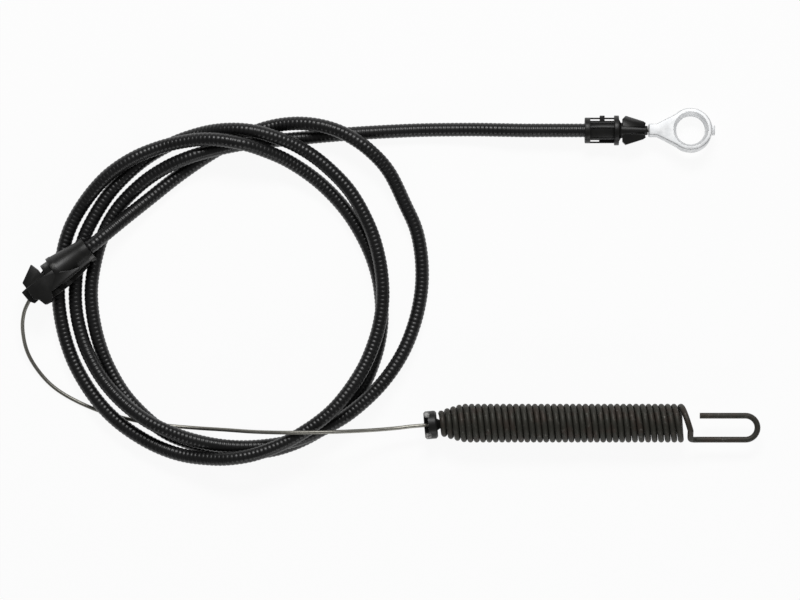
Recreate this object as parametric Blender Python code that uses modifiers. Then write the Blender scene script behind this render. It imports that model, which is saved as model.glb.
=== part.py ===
"""Clutch control cable of a walk-behind mower, lying loosely coiled on a table.

The origin is at the middle of the footprint of the fittings and the spring, on the table.
+X runs along the straight front end of the conduit, and +Z is up.
"""

import math

import bmesh
import bpy
from mathutils import Matrix, Vector

MM = 0.001

# Gap between pieces that seat on or run in each other
CLEARANCE = 0.3 * MM

# How finely round pieces are faceted, smoothed and closed
FITTING_STEPS = 32
EYE_STEPS = 48
BORE_STEPS = 24
NIPPLE_STEPS = 20
WIRE_STEPS = 16
SMOOTH_ANGLE = math.radians(35.0)
COIL_SMOOTH_ANGLE = math.radians(50.0)
TURN_MERGE_DISTANCE = 0.01 * MM
WELD_DISTANCE = 0.001 * MM

# Conduit: a plastic jacket over a flat-wire winding, and the wire inside it
JACKET_DIAMETER = 5.0 * MM
WINDING_WALL = 0.42 * MM
WIRE_DIAMETER = 1.5 * MM
ROUTE_POINT_COUNT = 80
ROUTE_SPAN_STEPS = 16
TUBE_RESOLUTION = 2
TUBE_SIDES = 8

# Front fitting, along +X from the end that the conduit enters
FRONT_START_X = 74.3 * MM
FRONT_AXIS_Y = 55.9 * MM
REAR_FLANGE_LENGTH = 2.1 * MM
REAR_FLANGE_DIAMETER = 9.9 * MM
FLUTED_LENGTH = 9.2 * MM
FLUTED_DIAMETER = 7.5 * MM
FLUTE_RIB_HEIGHT = 0.5 * MM
FLUTE_RIB_WIDTH = 0.5 * MM
FLUTE_RIB_ANGLES = (16.0, 42.0, 127.0, 196.0, 222.0, 307.0)
SIDE_RAIL_THICKNESS = 0.55 * MM
SIDE_RAIL_WIDTH = 1.8 * MM
SIDE_RAIL_DIAMETER = 9.8 * MM
KEY_NUB_LENGTH = 1.9 * MM
KEY_NUB_HEIGHT = 0.8 * MM
STOP_FLANGE_LENGTH = 1.8 * MM
STOP_FLANGE_DIAMETER = 11.5 * MM
STOP_CONE_LENGTH = 0.8 * MM
STOP_CONE_DIAMETER = 9.0 * MM
PANEL_GROOVE_LENGTH = 1.4 * MM
PANEL_GROOVE_DIAMETER = 6.0 * MM
SNAP_LENGTH = 8.6 * MM
SNAP_SPREAD_DIAMETER = 11.2 * MM
SNAP_TIP_DIAMETER = 6.9 * MM
SNAP_WIDTH = 4.6 * MM
SNAP_HEEL = 1.2 * MM
SNAP_TIP_CHAMFER = 0.6 * MM
SNAP_TIP_REACH = 0.3 * MM
NOSE_LENGTH = 1.1 * MM
NOSE_DIAMETER = 3.6 * MM
CONDUIT_SEAT_DEPTH = 9.6 * MM

# Eyelet, cast on the front end of the wire
EYE_NECK_LENGTH = 7.9 * MM
EYE_NECK_WIDTH = 4.6 * MM
EYE_FLANK_LENGTH = 4.7 * MM
EYE_FLANK_TOUCH_ANGLE = math.radians(132.0)
EYE_RING_DIAMETER = 16.6 * MM
EYE_RING_THICKNESS = 6.0 * MM
EYE_RING_CHAMFER = 0.6 * MM
EYE_NECK_THICKNESS = 4.6 * MM
EYE_MOUTH_DIAMETER = 13.7 * MM
EYE_WAIST_DIAMETER = 11.0 * MM
EYE_NUB_LENGTH = 1.1 * MM
EYE_NUB_WIDTH = 3.6 * MM
EYE_NUB_THICKNESS = 2.3 * MM
EYE_TILT = math.radians(-10.0)
EYE_CRIMP_DEPTH = 6.8 * MM
WIRE_TRAVEL = 30.0 * MM

# Rear bracket fitting, in its own frame: U along the conduit, V across, W up
BRACKET_U0_X = -127.7 * MM
BRACKET_U0_Y = 1.4 * MM
BRACKET_TURN = math.radians(35.5)
BRACKET_AXIS_Z = 10.0 * MM
BARREL_AXIS_V = 1.0 * MM
BARREL_MOUTH_U = 14.3 * MM
BARREL_STRAIGHT_LENGTH = 3.3 * MM
BARREL_MOUTH_DIAMETER = 9.4 * MM
BARREL_ROOT_DIAMETER = 11.8 * MM
BARREL_ROOT_U = 0.3 * MM
COLLAR_LENGTH = 1.8 * MM
COLLAR_DIAMETER = 12.2 * MM
SPIGOT_LENGTH = 3.1 * MM
SPIGOT_DIAMETER = 10.3 * MM
BRACKET_SEAT_DEPTH = 11.0 * MM
BRACKET_SOLE_W = -4.6 * MM
BASE_PLATE_THICKNESS = 3.6 * MM
TAB_LOW_W = -2.6 * MM
TAB_THICKNESS = 4.2 * MM
COVER_LOW_W = 1.3 * MM
COVER_THICKNESS = 2.0 * MM
TOP_PLATE_LOW_W = 3.0 * MM
TOP_PLATE_THICKNESS = 2.9 * MM
COVER_WEB_LENGTH = 6.2 * MM
COVER_WEB_WIDTH = 6.4 * MM
COVER_WEB_LAP = 1.5 * MM

# Plug and nipple at the rear end of the wire, at the small end of the spring
PLUG_PIVOT_X = 19.5 * MM
PLUG_OFFSET_Y = -0.3 * MM
PLUG_TILT = math.radians(5.0)
PLUG_HEAD_START = -7.0 * MM
PLUG_HEAD_LENGTH = 5.0 * MM
PLUG_HEAD_DIAMETER = 10.8 * MM
PLUG_HEAD_CHAMFER = 0.7 * MM
PLUG_SLOT_DEPTH = 1.6 * MM
PLUG_SLOT_WIDTH = 6.2 * MM
PLUG_SLOT_FLOOR = 1.2 * MM
PLUG_NECK_LENGTH = 5.8 * MM
PLUG_NECK_DIAMETER = 3.5 * MM
PLUG_NECK_ROOT_DIAMETER = 4.6 * MM
PLUG_NECK_ROOT_LENGTH = 1.0 * MM
PLUG_BARB_LENGTH = 2.8 * MM
PLUG_BARB_DIAMETER = 6.4 * MM
PLUG_BARB_END_DIAMETER = 5.0 * MM
NIPPLE_LENGTH = 2.6 * MM
NIPPLE_DIAMETER = 3.0 * MM
NIPPLE_SEAT_DEPTH = 2.4 * MM

# Extension spring with a long hook
SPRING_START_X = 19.0 * MM
SPRING_AXIS_Y = -56.7 * MM
SPRING_WIRE_DIAMETER = 2.3 * MM
SPRING_PITCH = 2.43 * MM
SPRING_DIAMETER = 15.0 * MM
SPRING_SMALL_DIAMETER = 9.8 * MM
SPRING_TAPER_TURNS = 4
SPRING_TAPER_POWER = 1.4
SPRING_TURNS = 38
SPRING_STEPS_PER_TURN = 12
SPRING_WIRE_RESOLUTION = 1
SPRING_LEAVE_ANGLE = math.radians(120.0)
SPRING_SWING_ANGLE = math.radians(210.0)
SPRING_SWING_REACH = 2.4 * MM
SPRING_LEAN = 0.06
HOOK_REACH = 141.9 * MM
HOOK_BEND_RADIUS = 4.6 * MM
HOOK_RETURN_X = 118.5 * MM
HOOK_START_X = 118.6 * MM
HOOK_BEND_STEPS = 8
HOOK_LEAD_TURNS = 0.5
HOOK_LEAD_SHIFT = 0.4 * MM

# Where the conduit's middle line lies, from the rear fitting to the front one, in mm
CONDUIT_ROUTE = [
    (-114.8, 11.8, 10.0), (-109.6, 16.2, 8.8), (-102.7, 22.0, 6.4), (-93.0, 29.9, 3.6),
    (-83.4, 37.6, 2.6), (-73.8, 44.4, 2.6), (-64.2, 50.2, 2.6), (-54.5, 54.9, 2.6),
    (-44.9, 57.8, 3.2), (-35.3, 58.6, 5.8), (-25.7, 57.3, 8.0), (-16.8, 53.9, 8.1),
    (-8.3, 48.0, 7.8), (-1.0, 39.9, 6.0), (5.1, 27.6, 4.2), (9.6, 17.2, 3.0),
    (11.6, 5.3, 2.6), (11.3, -6.7, 2.9), (8.6, -19.0, 4.2), (3.6, -30.9, 6.3),
    (-4.5, -42.3, 8.1), (-15.3, -52.3, 8.3), (-25.7, -58.6, 8.2), (-37.2, -63.3, 8.2),
    (-50.7, -65.6, 8.3), (-64.2, -65.5, 8.3), (-77.6, -62.8, 8.8), (-89.2, -58.3, 10.2),
    (-96.9, -53.8, 10.4), (-104.6, -47.4, 9.3), (-110.9, -40.2, 7.6), (-115.6, -32.5, 5.8),
    (-119.2, -24.0, 3.6), (-121.6, -13.2, 2.6), (-121.7, -1.7, 2.6), (-119.6, 11.4, 2.6),
    (-115.4, 21.4, 2.6), (-107.8, 33.0, 2.6), (-96.9, 43.5, 2.6), (-85.3, 50.6, 2.6),
    (-73.8, 54.7, 3.8), (-64.2, 56.1, 8.0), (-54.5, 55.7, 10.6), (-44.9, 53.3, 10.2),
    (-35.3, 49.2, 8.6), (-25.7, 42.5, 8.1), (-16.0, 32.4, 8.0), (-8.9, 19.7, 8.0),
    (-5.1, 8.0, 8.1), (-3.5, -3.6, 8.2), (-3.9, -14.0, 8.4), (-6.4, -24.8, 9.2),
    (-11.3, -36.3, 10.9), (-19.3, -47.9, 13.4), (-27.6, -55.8, 13.8), (-39.1, -63.1, 13.8),
    (-50.7, -68.0, 13.6), (-60.3, -70.0, 12.8), (-69.9, -70.3, 9.8), (-81.5, -68.8, 6.2),
    (-93.0, -64.4, 4.9), (-104.6, -56.9, 4.6), (-113.5, -47.9, 4.4), (-121.0, -36.3, 3.6),
    (-125.6, -24.8, 2.8), (-128.1, -12.4, 2.6), (-128.2, -1.7, 2.6), (-125.6, 13.7, 2.6),
    (-120.3, 25.3, 3.2), (-111.1, 36.8, 5.9), (-100.7, 44.4, 8.0), (-89.2, 49.3, 8.3),
    (-77.6, 51.8, 10.8), (-68.0, 52.2, 13.4), (-58.4, 50.8, 14.2), (-49.9, 48.4, 11.4),
    (-39.1, 43.7, 7.0), (-27.6, 35.7, 4.2), (-17.7, 25.3, 2.9), (-10.5, 13.7, 2.6),
    (-6.0, 2.2, 2.6), (-4.0, -9.4, 2.6), (-4.1, -20.9, 2.6), (-6.7, -32.5, 2.6),
    (-11.9, -44.0, 2.6), (-21.0, -54.6, 2.6), (-31.4, -61.8, 2.6), (-43.0, -66.5, 2.6),
    (-54.5, -68.2, 2.6), (-66.1, -67.6, 2.6), (-77.6, -64.5, 2.9), (-89.2, -59.0, 4.5),
    (-101.1, -47.9, 4.2), (-108.6, -36.3, 2.8), (-113.1, -24.8, 2.6), (-115.5, -12.4, 2.6),
    (-115.4, -0.9, 2.6), (-112.0, 13.7, 2.6), (-106.0, 25.3, 2.6), (-96.9, 34.9, 3.6),
    (-87.3, 41.4, 6.0), (-77.6, 45.6, 8.2), (-68.0, 48.4, 8.2), (-58.4, 50.4, 7.9),
    (-49.9, 51.6, 5.3), (-39.1, 52.6, 2.7), (-23.7, 54.1, 2.6), (-8.3, 55.2, 2.6),
    (10.9, 56.1, 2.6), (30.2, 56.3, 3.6), (41.7, 56.1, 5.1), (51.0, 55.9, 5.75),
]

# Where the bare wire lies, from the plug to the rear fitting, in mm
BARE_WIRE_ROUTE = [
    (7.0, -58.0, 7.5), (1.0, -58.7, 8.2), (-9.1, -59.4, 11.2), (-19.9, -59.8, 15.6),
    (-30.7, -60.0, 17.6), (-41.1, -60.1, 17.2), (-52.6, -59.9, 12.8), (-64.2, -59.3, 6.0),
    (-75.7, -58.7, 1.6), (-87.3, -57.7, 0.8), (-98.8, -55.9, 0.8), (-111.1, -52.7, 0.8),
    (-121.9, -48.2, 0.8), (-130.4, -42.9, 0.9), (-136.5, -36.3, 1.6), (-140.5, -29.0, 3.2),
    (-142.0, -20.9, 5.8), (-141.4, -14.6, 8.0), (-139.4, -9.9, 9.3), (-136.9, -5.9, 9.9),
    (-134.2, -3.1, 10.0),
]
BARE_WIRE_POINT_COUNT = 30

# Outlines of the rear fitting's plates, as (U, V) in mm
BASE_PLATE_OUTLINE = [
    (-13.8, 1.9), (-13.6, -3.4), (-12.3, -4.1), (-11.3, -7.4), (-8.8, -7.7), (-7.2, -6.7),
    (-0.9, -6.5), (6.4, -5.6), (7.9, -5.3), (11.2, -4.4), (11.2, -2.0), (7.2, 2.0), (-4.8, 4.2),
]
LEFT_TAB_OUTLINE = [(-6.0, 1.5), (-6.1, 5.3), (-7.1, 8.6), (-13.9, 4.7), (-13.8, 0.5)]
COVER_OUTLINE = [
    (-16.1, 1.8), (-15.8, -2.6), (-14.5, -4.5), (-11.0, -4.1), (-3.0, -3.0), (-3.0, 3.4), (-12.0, 2.4),
]
TOP_PLATE_OUTLINE = BASE_PLATE_OUTLINE[:6] + [
    (-6.6, -4.6), (-1.5, -4.4), (7.6, -4.2), (7.5, -3.0), (3.9, -2.1), (0.0, 0.1), (-1.5, 1.1),
    (-1.5, 2.0), (-6.0, 2.0),
]
CLIP_RIBS = [(-4.6, -5.2), (0.6, -5.1)]
CLIP_RIB_SIZE = (2.4 * MM, 1.5 * MM, 1.0 * MM)
MOUTH_LIP_SIZE = (2.0 * MM, 2.4 * MM, 2.4 * MM)
MOUTH_LIP_V = -3.0 * MM

# Worked out from the sizes above
WIRE_RADIUS = WIRE_DIAMETER / 2
WIRE_BORE_RADIUS = WIRE_RADIUS + CLEARANCE
WINDING_RADIUS = WIRE_BORE_RADIUS + WINDING_WALL
JACKET_BORE_RADIUS = WINDING_RADIUS + CLEARANCE
JACKET_RADIUS = JACKET_DIAMETER / 2
CONDUIT_SEAT_RADIUS = JACKET_RADIUS + CLEARANCE
FRONT_AXIS_Z = STOP_FLANGE_DIAMETER / 2
FLUTED_START_X = FRONT_START_X + REAR_FLANGE_LENGTH
STOP_FLANGE_X = FLUTED_START_X + FLUTED_LENGTH
GROOVE_X = STOP_FLANGE_X + STOP_FLANGE_LENGTH
SNAP_START_X = GROOVE_X + PANEL_GROOVE_LENGTH
SNAP_END_X = SNAP_START_X + SNAP_LENGTH
NOSE_END_X = SNAP_END_X + NOSE_LENGTH
EYE_START_X = NOSE_END_X + CLEARANCE
EYE_CENTRE_X = EYE_START_X + EYE_NECK_LENGTH + EYE_RING_DIAMETER / 2
CONDUIT_END_X = FRONT_START_X + CONDUIT_SEAT_DEPTH - CLEARANCE
SPRING_WIRE_RADIUS = SPRING_WIRE_DIAMETER / 2
SPRING_MEAN_RADIUS = SPRING_DIAMETER / 2 - SPRING_WIRE_RADIUS
SPRING_SMALL_RADIUS = SPRING_SMALL_DIAMETER / 2 - SPRING_WIRE_RADIUS
SPRING_AXIS_Z = SPRING_DIAMETER / 2
SLIDING_WIRE_START_X = NOSE_END_X - WIRE_TRAVEL - SNAP_LENGTH


def clear_scene():
    """Remove every object of the scene."""
    for old in list(bpy.data.objects):
        bpy.data.objects.remove(old, do_unlink=True)


def new_collection(name):
    """Make a collection and link it to the scene."""
    made = bpy.data.collections.new(name)
    bpy.context.scene.collection.children.link(made)
    return made


def new_material(name, colour, roughness, metallic):
    """Make a plain Principled material."""
    made = bpy.data.materials.new(name)
    made.use_nodes = True
    shader = made.node_tree.nodes["Principled BSDF"]
    shader.inputs["Base Color"].default_value = (*colour, 1.0)
    shader.inputs["Roughness"].default_value = roughness
    shader.inputs["Metallic"].default_value = metallic
    made.diffuse_color = (*colour, 1.0)
    return made


def add_mesh_object(name, mesh, collection, matrix=None):
    """Put a mesh in a collection as an object."""
    made = bpy.data.objects.new(name, mesh)
    collection.objects.link(made)
    if matrix is not None:
        made.matrix_world = matrix
    return made


def set_material(target, material):
    """Give an object its one material."""
    target.data.materials.clear()
    target.data.materials.append(material)


def shade(target, angle=SMOOTH_ANGLE):
    """Shade a round piece smooth, with its edges kept sharp."""
    target.data.shade_smooth()
    target.data.set_sharp_from_angle(angle=angle)


def turned_mesh(name, profile, steps, collection, matrix):
    """Turn a closed or axis-to-axis profile of (radius, height) about Z."""
    mesh = bpy.data.meshes.new(name)
    shape = bmesh.new()
    corners = [shape.verts.new((radius, 0.0, height)) for radius, height in profile]
    for first, second in zip(corners, corners[1:]):
        shape.edges.new((first, second))
    if profile[0][0] > 0.0:
        shape.edges.new((corners[-1], corners[0]))
    shape.to_mesh(mesh)
    shape.free()
    made = add_mesh_object(name, mesh, collection, matrix)
    screw = made.modifiers.new("Turn", "SCREW")
    screw.axis = "Z"
    screw.angle = 2 * math.pi
    screw.steps = steps
    screw.render_steps = steps
    screw.use_merge_vertices = True
    screw.merge_threshold = TURN_MERGE_DISTANCE
    return made


def as_mesh_object(source, collection):
    """Replace a curve or modified object by a plain mesh of its evaluated shape."""
    bpy.context.view_layer.update()
    evaluated = source.evaluated_get(bpy.context.evaluated_depsgraph_get())
    mesh = bpy.data.meshes.new_from_object(evaluated)
    shape = bmesh.new()
    shape.from_mesh(mesh)
    bmesh.ops.remove_doubles(shape, verts=shape.verts, dist=WELD_DISTANCE)
    bmesh.ops.recalc_face_normals(shape, faces=shape.faces)
    shape.to_mesh(mesh)
    shape.free()
    name = source.name
    matrix = source.matrix_world.copy()
    bpy.data.objects.remove(source, do_unlink=True)
    return add_mesh_object(name, mesh, collection, matrix)


def swept_curve(name, points, radius, resolution, collection, capped=True):
    """Sweep a round section along a line of points."""
    curve = bpy.data.curves.new(name, "CURVE")
    curve.dimensions = "3D"
    curve.bevel_depth = radius
    curve.bevel_resolution = resolution
    curve.use_fill_caps = capped
    line = curve.splines.new("POLY")
    line.points.add(len(points) - 1)
    for slot, point in zip(line.points, points):
        slot.co = (*point, 1.0)
    made = bpy.data.objects.new(name, curve)
    collection.objects.link(made)
    return made


def hollow_tube(name, points, outer_radius, inner_radius, collection):
    """Sweep an open tube along a line of points and give it a wall."""
    made = as_mesh_object(
        swept_curve(name, points, outer_radius, TUBE_RESOLUTION, collection, capped=False), collection)
    wall = made.modifiers.new("Wall", "SOLIDIFY")
    wall.thickness = (outer_radius - inner_radius) * math.cos(math.pi / TUBE_SIDES)
    wall.offset = -1.0
    wall.use_even_offset = True
    return made


def flat_outline(name, outline, thickness, collection, matrix):
    """Extrude a flat outline, centred on its own plane, and keep it as a mesh."""
    curve = bpy.data.curves.new(name, "CURVE")
    curve.dimensions = "2D"
    curve.fill_mode = "BOTH"
    curve.extrude = thickness / 2
    line = curve.splines.new("POLY")
    line.points.add(len(outline) - 1)
    for slot, (across, along) in zip(line.points, outline):
        slot.co = (across, along, 0.0, 1.0)
    line.use_cyclic_u = True
    made = bpy.data.objects.new(name, curve)
    collection.objects.link(made)
    made.matrix_world = matrix
    return as_mesh_object(made, collection)


def block(name, size, collection, matrix):
    """Make a box of the given size."""
    mesh = bpy.data.meshes.new(name)
    shape = bmesh.new()
    bmesh.ops.create_cube(shape, size=1.0, matrix=Matrix.Diagonal((*size, 1.0)))
    shape.to_mesh(mesh)
    shape.free()
    return add_mesh_object(name, mesh, collection, matrix)


def rod(name, radius, length, steps, collection, matrix):
    """Make a closed cylinder along its own Z, centred on its middle."""
    mesh = bpy.data.meshes.new(name)
    shape = bmesh.new()
    bmesh.ops.create_cone(shape, cap_ends=True, segments=steps, radius1=radius, radius2=radius, depth=length)
    shape.to_mesh(mesh)
    shape.free()
    return add_mesh_object(name, mesh, collection, matrix)


def hide_tool(tool):
    """Mark an object as a construction tool only."""
    tool.hide_render = True
    tool.display_type = "WIRE"


def combine(target, tool, operation):
    """Cut or join a target with a tool by an exact Boolean."""
    hide_tool(tool)
    step = target.modifiers.new(tool.name, "BOOLEAN")
    step.operation = operation
    step.solver = "EXACT"
    step.object = tool


def along_x(x, y, z):
    """Frame whose own Z points along world +X."""
    return Matrix.Translation((x, y, z)) @ Matrix.Rotation(math.pi / 2, 4, "Y")


def smooth_line(route, count):
    """Read evenly spaced points from a smooth curve through a route in mm."""
    corners = [Vector(point) * MM for point in route]
    corners.insert(0, corners[0] * 2 - corners[1])
    corners.append(corners[-1] * 2 - corners[-2])
    fine = []
    for before, start, end, after in zip(corners, corners[1:], corners[2:], corners[3:]):
        for index in range(ROUTE_SPAN_STEPS):
            part = index / ROUTE_SPAN_STEPS
            fine.append(
                (start * 2 + (end - before) * part
                 + (before * 2 - start * 5 + end * 4 - after) * part ** 2
                 + (start * 3 - before - end * 3 + after) * part ** 3) / 2)
    fine.append(corners[-2])
    travelled = [0.0]
    for first, second in zip(fine, fine[1:]):
        travelled.append(travelled[-1] + (second - first).length)
    chosen = []
    span = 0
    for index in range(count):
        goal = travelled[-1] * index / (count - 1)
        while span < len(fine) - 2 and travelled[span + 1] < goal:
            span += 1
        share = (goal - travelled[span]) / (travelled[span + 1] - travelled[span])
        chosen.append(fine[span].lerp(fine[span + 1], share))
    return chosen


def bracket_frame():
    """Frame of the rear fitting: its X is U, its Y is V and its Z is W."""
    return (Matrix.Translation((BRACKET_U0_X, BRACKET_U0_Y, BRACKET_AXIS_Z))
            @ Matrix.Rotation(BRACKET_TURN, 4, "Z"))


def barrel_frame():
    """Frame of the rear fitting's barrel, whose own Z points along U."""
    return (bracket_frame() @ Matrix.Translation((0.0, BARREL_AXIS_V, 0.0))
            @ Matrix.Rotation(math.pi / 2, 4, "Y"))


def plug_frame():
    """Frame of the plug, whose own Z points along its bore, towards the spring."""
    return (Matrix.Translation((PLUG_PIVOT_X, SPRING_AXIS_Y + PLUG_OFFSET_Y, SPRING_AXIS_Z))
            @ Matrix.Rotation(PLUG_TILT, 4, "Z") @ Matrix.Rotation(math.pi / 2, 4, "Y"))


def plug_end():
    """Height of the plug's inner end in its own frame."""
    return PLUG_HEAD_START + PLUG_HEAD_LENGTH + PLUG_NECK_LENGTH + PLUG_BARB_LENGTH


def conduit_line():
    """Middle line of the conduit, with its straight ends inside both fittings."""
    rear_u = BARREL_MOUTH_U - BRACKET_SEAT_DEPTH + CLEARANCE
    rear_end = bracket_frame() @ Vector((rear_u, BARREL_AXIS_V, 0.0))
    mouth = bracket_frame() @ Vector((BARREL_MOUTH_U + CLEARANCE, BARREL_AXIS_V, 0.0))
    front_end = Vector((CONDUIT_END_X, FRONT_AXIS_Y, FRONT_AXIS_Z))
    return [rear_end, mouth] + smooth_line(CONDUIT_ROUTE, ROUTE_POINT_COUNT) + [front_end]


def wire_line():
    """Middle line of the wire from the nipple, through the rear fitting and the conduit."""
    nipple_end = plug_end() - NIPPLE_SEAT_DEPTH + CLEARANCE + NIPPLE_LENGTH
    spring_end = plug_frame() @ Vector((0.0, 0.0, nipple_end))
    front_end = Vector((SLIDING_WIRE_START_X - CLEARANCE, FRONT_AXIS_Y, FRONT_AXIS_Z))
    barrel_root = bracket_frame() @ Vector((BARREL_ROOT_U - COLLAR_LENGTH, BARREL_AXIS_V, 0.0))
    bare = smooth_line(BARE_WIRE_ROUTE, BARE_WIRE_POINT_COUNT)
    return [spring_end] + bare + [barrel_root] + conduit_line()[:-1] + [front_end]


def make_conduit(parts, jacket_look, winding_look):
    """Make the jacket and the winding that runs inside it."""
    line = conduit_line()
    jacket = hollow_tube("conduit_jacket", line, JACKET_RADIUS, JACKET_BORE_RADIUS, parts)
    set_material(jacket, jacket_look)
    winding = hollow_tube("conduit_winding", line, WINDING_RADIUS, WIRE_BORE_RADIUS, parts)
    set_material(winding, winding_look)


def make_wire(parts, look):
    """Make the inner wire: the long resting length and the short length cast in the eyelet."""
    curve = swept_curve("inner_wire", wire_line(), WIRE_RADIUS, TUBE_RESOLUTION, parts)
    set_material(curve, look)
    end_x = EYE_START_X + EYE_CRIMP_DEPTH - CLEARANCE
    length = end_x - SLIDING_WIRE_START_X
    frame = along_x(SLIDING_WIRE_START_X + length / 2, FRONT_AXIS_Y, FRONT_AXIS_Z)
    front = rod("inner_wire_front", WIRE_RADIUS, length, WIRE_STEPS, parts, frame)
    set_material(front, look)


def make_front_fitting(parts, cutters, look):
    """Make the snap-in fitting that holds the front end of the conduit."""
    seat_end = FRONT_START_X + CONDUIT_SEAT_DEPTH
    outer = [
        (REAR_FLANGE_DIAMETER / 2, FRONT_START_X), (REAR_FLANGE_DIAMETER / 2, FLUTED_START_X),
        (FLUTED_DIAMETER / 2, FLUTED_START_X), (FLUTED_DIAMETER / 2, STOP_FLANGE_X),
        (STOP_FLANGE_DIAMETER / 2, STOP_FLANGE_X), (STOP_FLANGE_DIAMETER / 2, GROOVE_X),
        (STOP_CONE_DIAMETER / 2, GROOVE_X), (PANEL_GROOVE_DIAMETER / 2, GROOVE_X + STOP_CONE_LENGTH),
        (PANEL_GROOVE_DIAMETER / 2, SNAP_START_X),
        (NOSE_DIAMETER / 2, SNAP_END_X), (NOSE_DIAMETER / 2, NOSE_END_X),
    ]
    bore = [
        (CONDUIT_SEAT_RADIUS, FRONT_START_X), (CONDUIT_SEAT_RADIUS, seat_end),
        (WIRE_BORE_RADIUS, seat_end), (WIRE_BORE_RADIUS, NOSE_END_X),
    ]
    profile = [(radius, height) for radius, height in reversed(outer)] + bore
    fitting = turned_mesh(
        "front_fitting", profile, FITTING_STEPS, parts, along_x(0.0, FRONT_AXIS_Y, FRONT_AXIS_Z))
    middle_x = FLUTED_START_X + FLUTED_LENGTH / 2
    rib_outer = FLUTED_DIAMETER / 2 + FLUTE_RIB_HEIGHT
    rib_inner = FLUTED_DIAMETER / 2 - CLEARANCE
    length = FLUTED_LENGTH + 2 * CLEARANCE
    rib_size = (length, FLUTE_RIB_WIDTH, rib_outer - rib_inner)
    middle = Matrix.Translation((middle_x, FRONT_AXIS_Y, FRONT_AXIS_Z))
    for index, angle in enumerate(FLUTE_RIB_ANGLES):
        frame = (middle @ Matrix.Rotation(-math.radians(angle), 4, "X")
                 @ Matrix.Translation((0.0, 0.0, (rib_outer + rib_inner) / 2)))
        combine(fitting, block(f"flute_rib_{index + 1}", rib_size, cutters, frame), "UNION")
    rail_y = (SIDE_RAIL_DIAMETER - SIDE_RAIL_THICKNESS) / 2
    rail_size = (length, SIDE_RAIL_THICKNESS, SIDE_RAIL_WIDTH)
    for side in (1.0, -1.0):
        name = "upper_rail" if side > 0 else "lower_rail"
        frame = middle @ Matrix.Translation((0.0, side * rail_y, 0.0))
        combine(fitting, block(name, rail_size, cutters, frame), "UNION")
    nub_outer = SIDE_RAIL_DIAMETER / 2 + KEY_NUB_HEIGHT
    nub_size = (KEY_NUB_LENGTH, nub_outer - rib_inner, SIDE_RAIL_WIDTH)
    nub_frame = middle @ Matrix.Translation((0.0, (nub_outer + rib_inner) / 2, 0.0))
    combine(fitting, block("key_nub", nub_size, cutters, nub_frame), "UNION")
    for side in (1.0, -1.0):
        add_snap_wing(fitting, side, cutters)
    set_material(fitting, look)
    shade(fitting)


def add_snap_wing(fitting, side, cutters):
    """Join one wedge-shaped snap wing to the front fitting on the given side."""
    spread = SNAP_SPREAD_DIAMETER / 2
    tip = SNAP_TIP_DIAMETER / 2
    deep = WIRE_BORE_RADIUS + CLEARANCE
    outline = [
        (SNAP_START_X, deep), (SNAP_END_X, deep),
        (SNAP_END_X + SNAP_TIP_REACH, tip - SNAP_TIP_CHAMFER), (SNAP_END_X - SNAP_TIP_CHAMFER, tip),
        (SNAP_START_X + SNAP_HEEL, spread), (SNAP_START_X, spread - SNAP_HEEL),
    ]
    placed = [(x, side * across) for x, across in outline]
    frame = Matrix.Translation((0.0, FRONT_AXIS_Y, FRONT_AXIS_Z))
    name = "snap_wing_upper" if side > 0 else "snap_wing_lower"
    combine(fitting, flat_outline(name, placed, SNAP_WIDTH, cutters, frame), "UNION")


def make_eyelet(parts, cutters, look):
    """Make the cast eyelet with its waisted hole, neck and sprue nub."""
    eye_frame = (Matrix.Translation((EYE_CENTRE_X, FRONT_AXIS_Y, FRONT_AXIS_Z))
                 @ Matrix.Rotation(EYE_TILT, 4, "X"))
    radius = EYE_RING_DIAMETER / 2
    half = EYE_RING_THICKNESS / 2
    chamfer = EYE_RING_CHAMFER
    profile = [
        (0.0, half), (radius - chamfer, half), (radius, half - chamfer),
        (radius, chamfer - half), (radius - chamfer, -half), (0.0, -half),
    ]
    eyelet = turned_mesh("eyelet", profile, EYE_STEPS, parts, eye_frame)
    start = -(EYE_NECK_LENGTH + radius)
    neck = EYE_NECK_WIDTH / 2
    shoulder = start + EYE_NECK_LENGTH - EYE_FLANK_LENGTH
    touch_x = (radius - CLEARANCE) * math.cos(EYE_FLANK_TOUCH_ANGLE)
    touch_y = (radius - CLEARANCE) * math.sin(EYE_FLANK_TOUCH_ANGLE)
    outline = [
        (start, neck), (start, -neck), (shoulder, -neck), (touch_x, -touch_y), (0.0, 0.0),
        (touch_x, touch_y), (shoulder, neck),
    ]
    combine(eyelet, flat_outline("eye_neck", outline, EYE_NECK_THICKNESS, cutters, eye_frame), "UNION")
    nub_size = (EYE_NUB_LENGTH + chamfer, EYE_NUB_WIDTH, EYE_NUB_THICKNESS)
    nub_frame = eye_frame @ Matrix.Translation((radius + (EYE_NUB_LENGTH - chamfer) / 2, 0.0, 0.0))
    combine(eyelet, block("eye_nub", nub_size, cutters, nub_frame), "UNION")
    mouth = EYE_MOUTH_DIAMETER / 2
    waist = EYE_WAIST_DIAMETER / 2
    flare = (mouth - waist) / half * CLEARANCE
    hole = [
        (0.0, half + CLEARANCE), (mouth + flare, half + CLEARANCE), (waist, 0.0),
        (mouth + flare, -half - CLEARANCE), (0.0, -half - CLEARANCE),
    ]
    combine(eyelet, turned_mesh("eye_hole", hole, EYE_STEPS, cutters, eye_frame), "DIFFERENCE")
    crimp_length = EYE_CRIMP_DEPTH + CLEARANCE
    crimp_frame = along_x(EYE_START_X + EYE_CRIMP_DEPTH - crimp_length / 2, FRONT_AXIS_Y, FRONT_AXIS_Z)
    crimp = rod("crimp_bore", WIRE_BORE_RADIUS, crimp_length, WIRE_STEPS, cutters, crimp_frame)
    combine(eyelet, crimp, "DIFFERENCE")
    set_material(eyelet, look)
    shade(eyelet)


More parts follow.
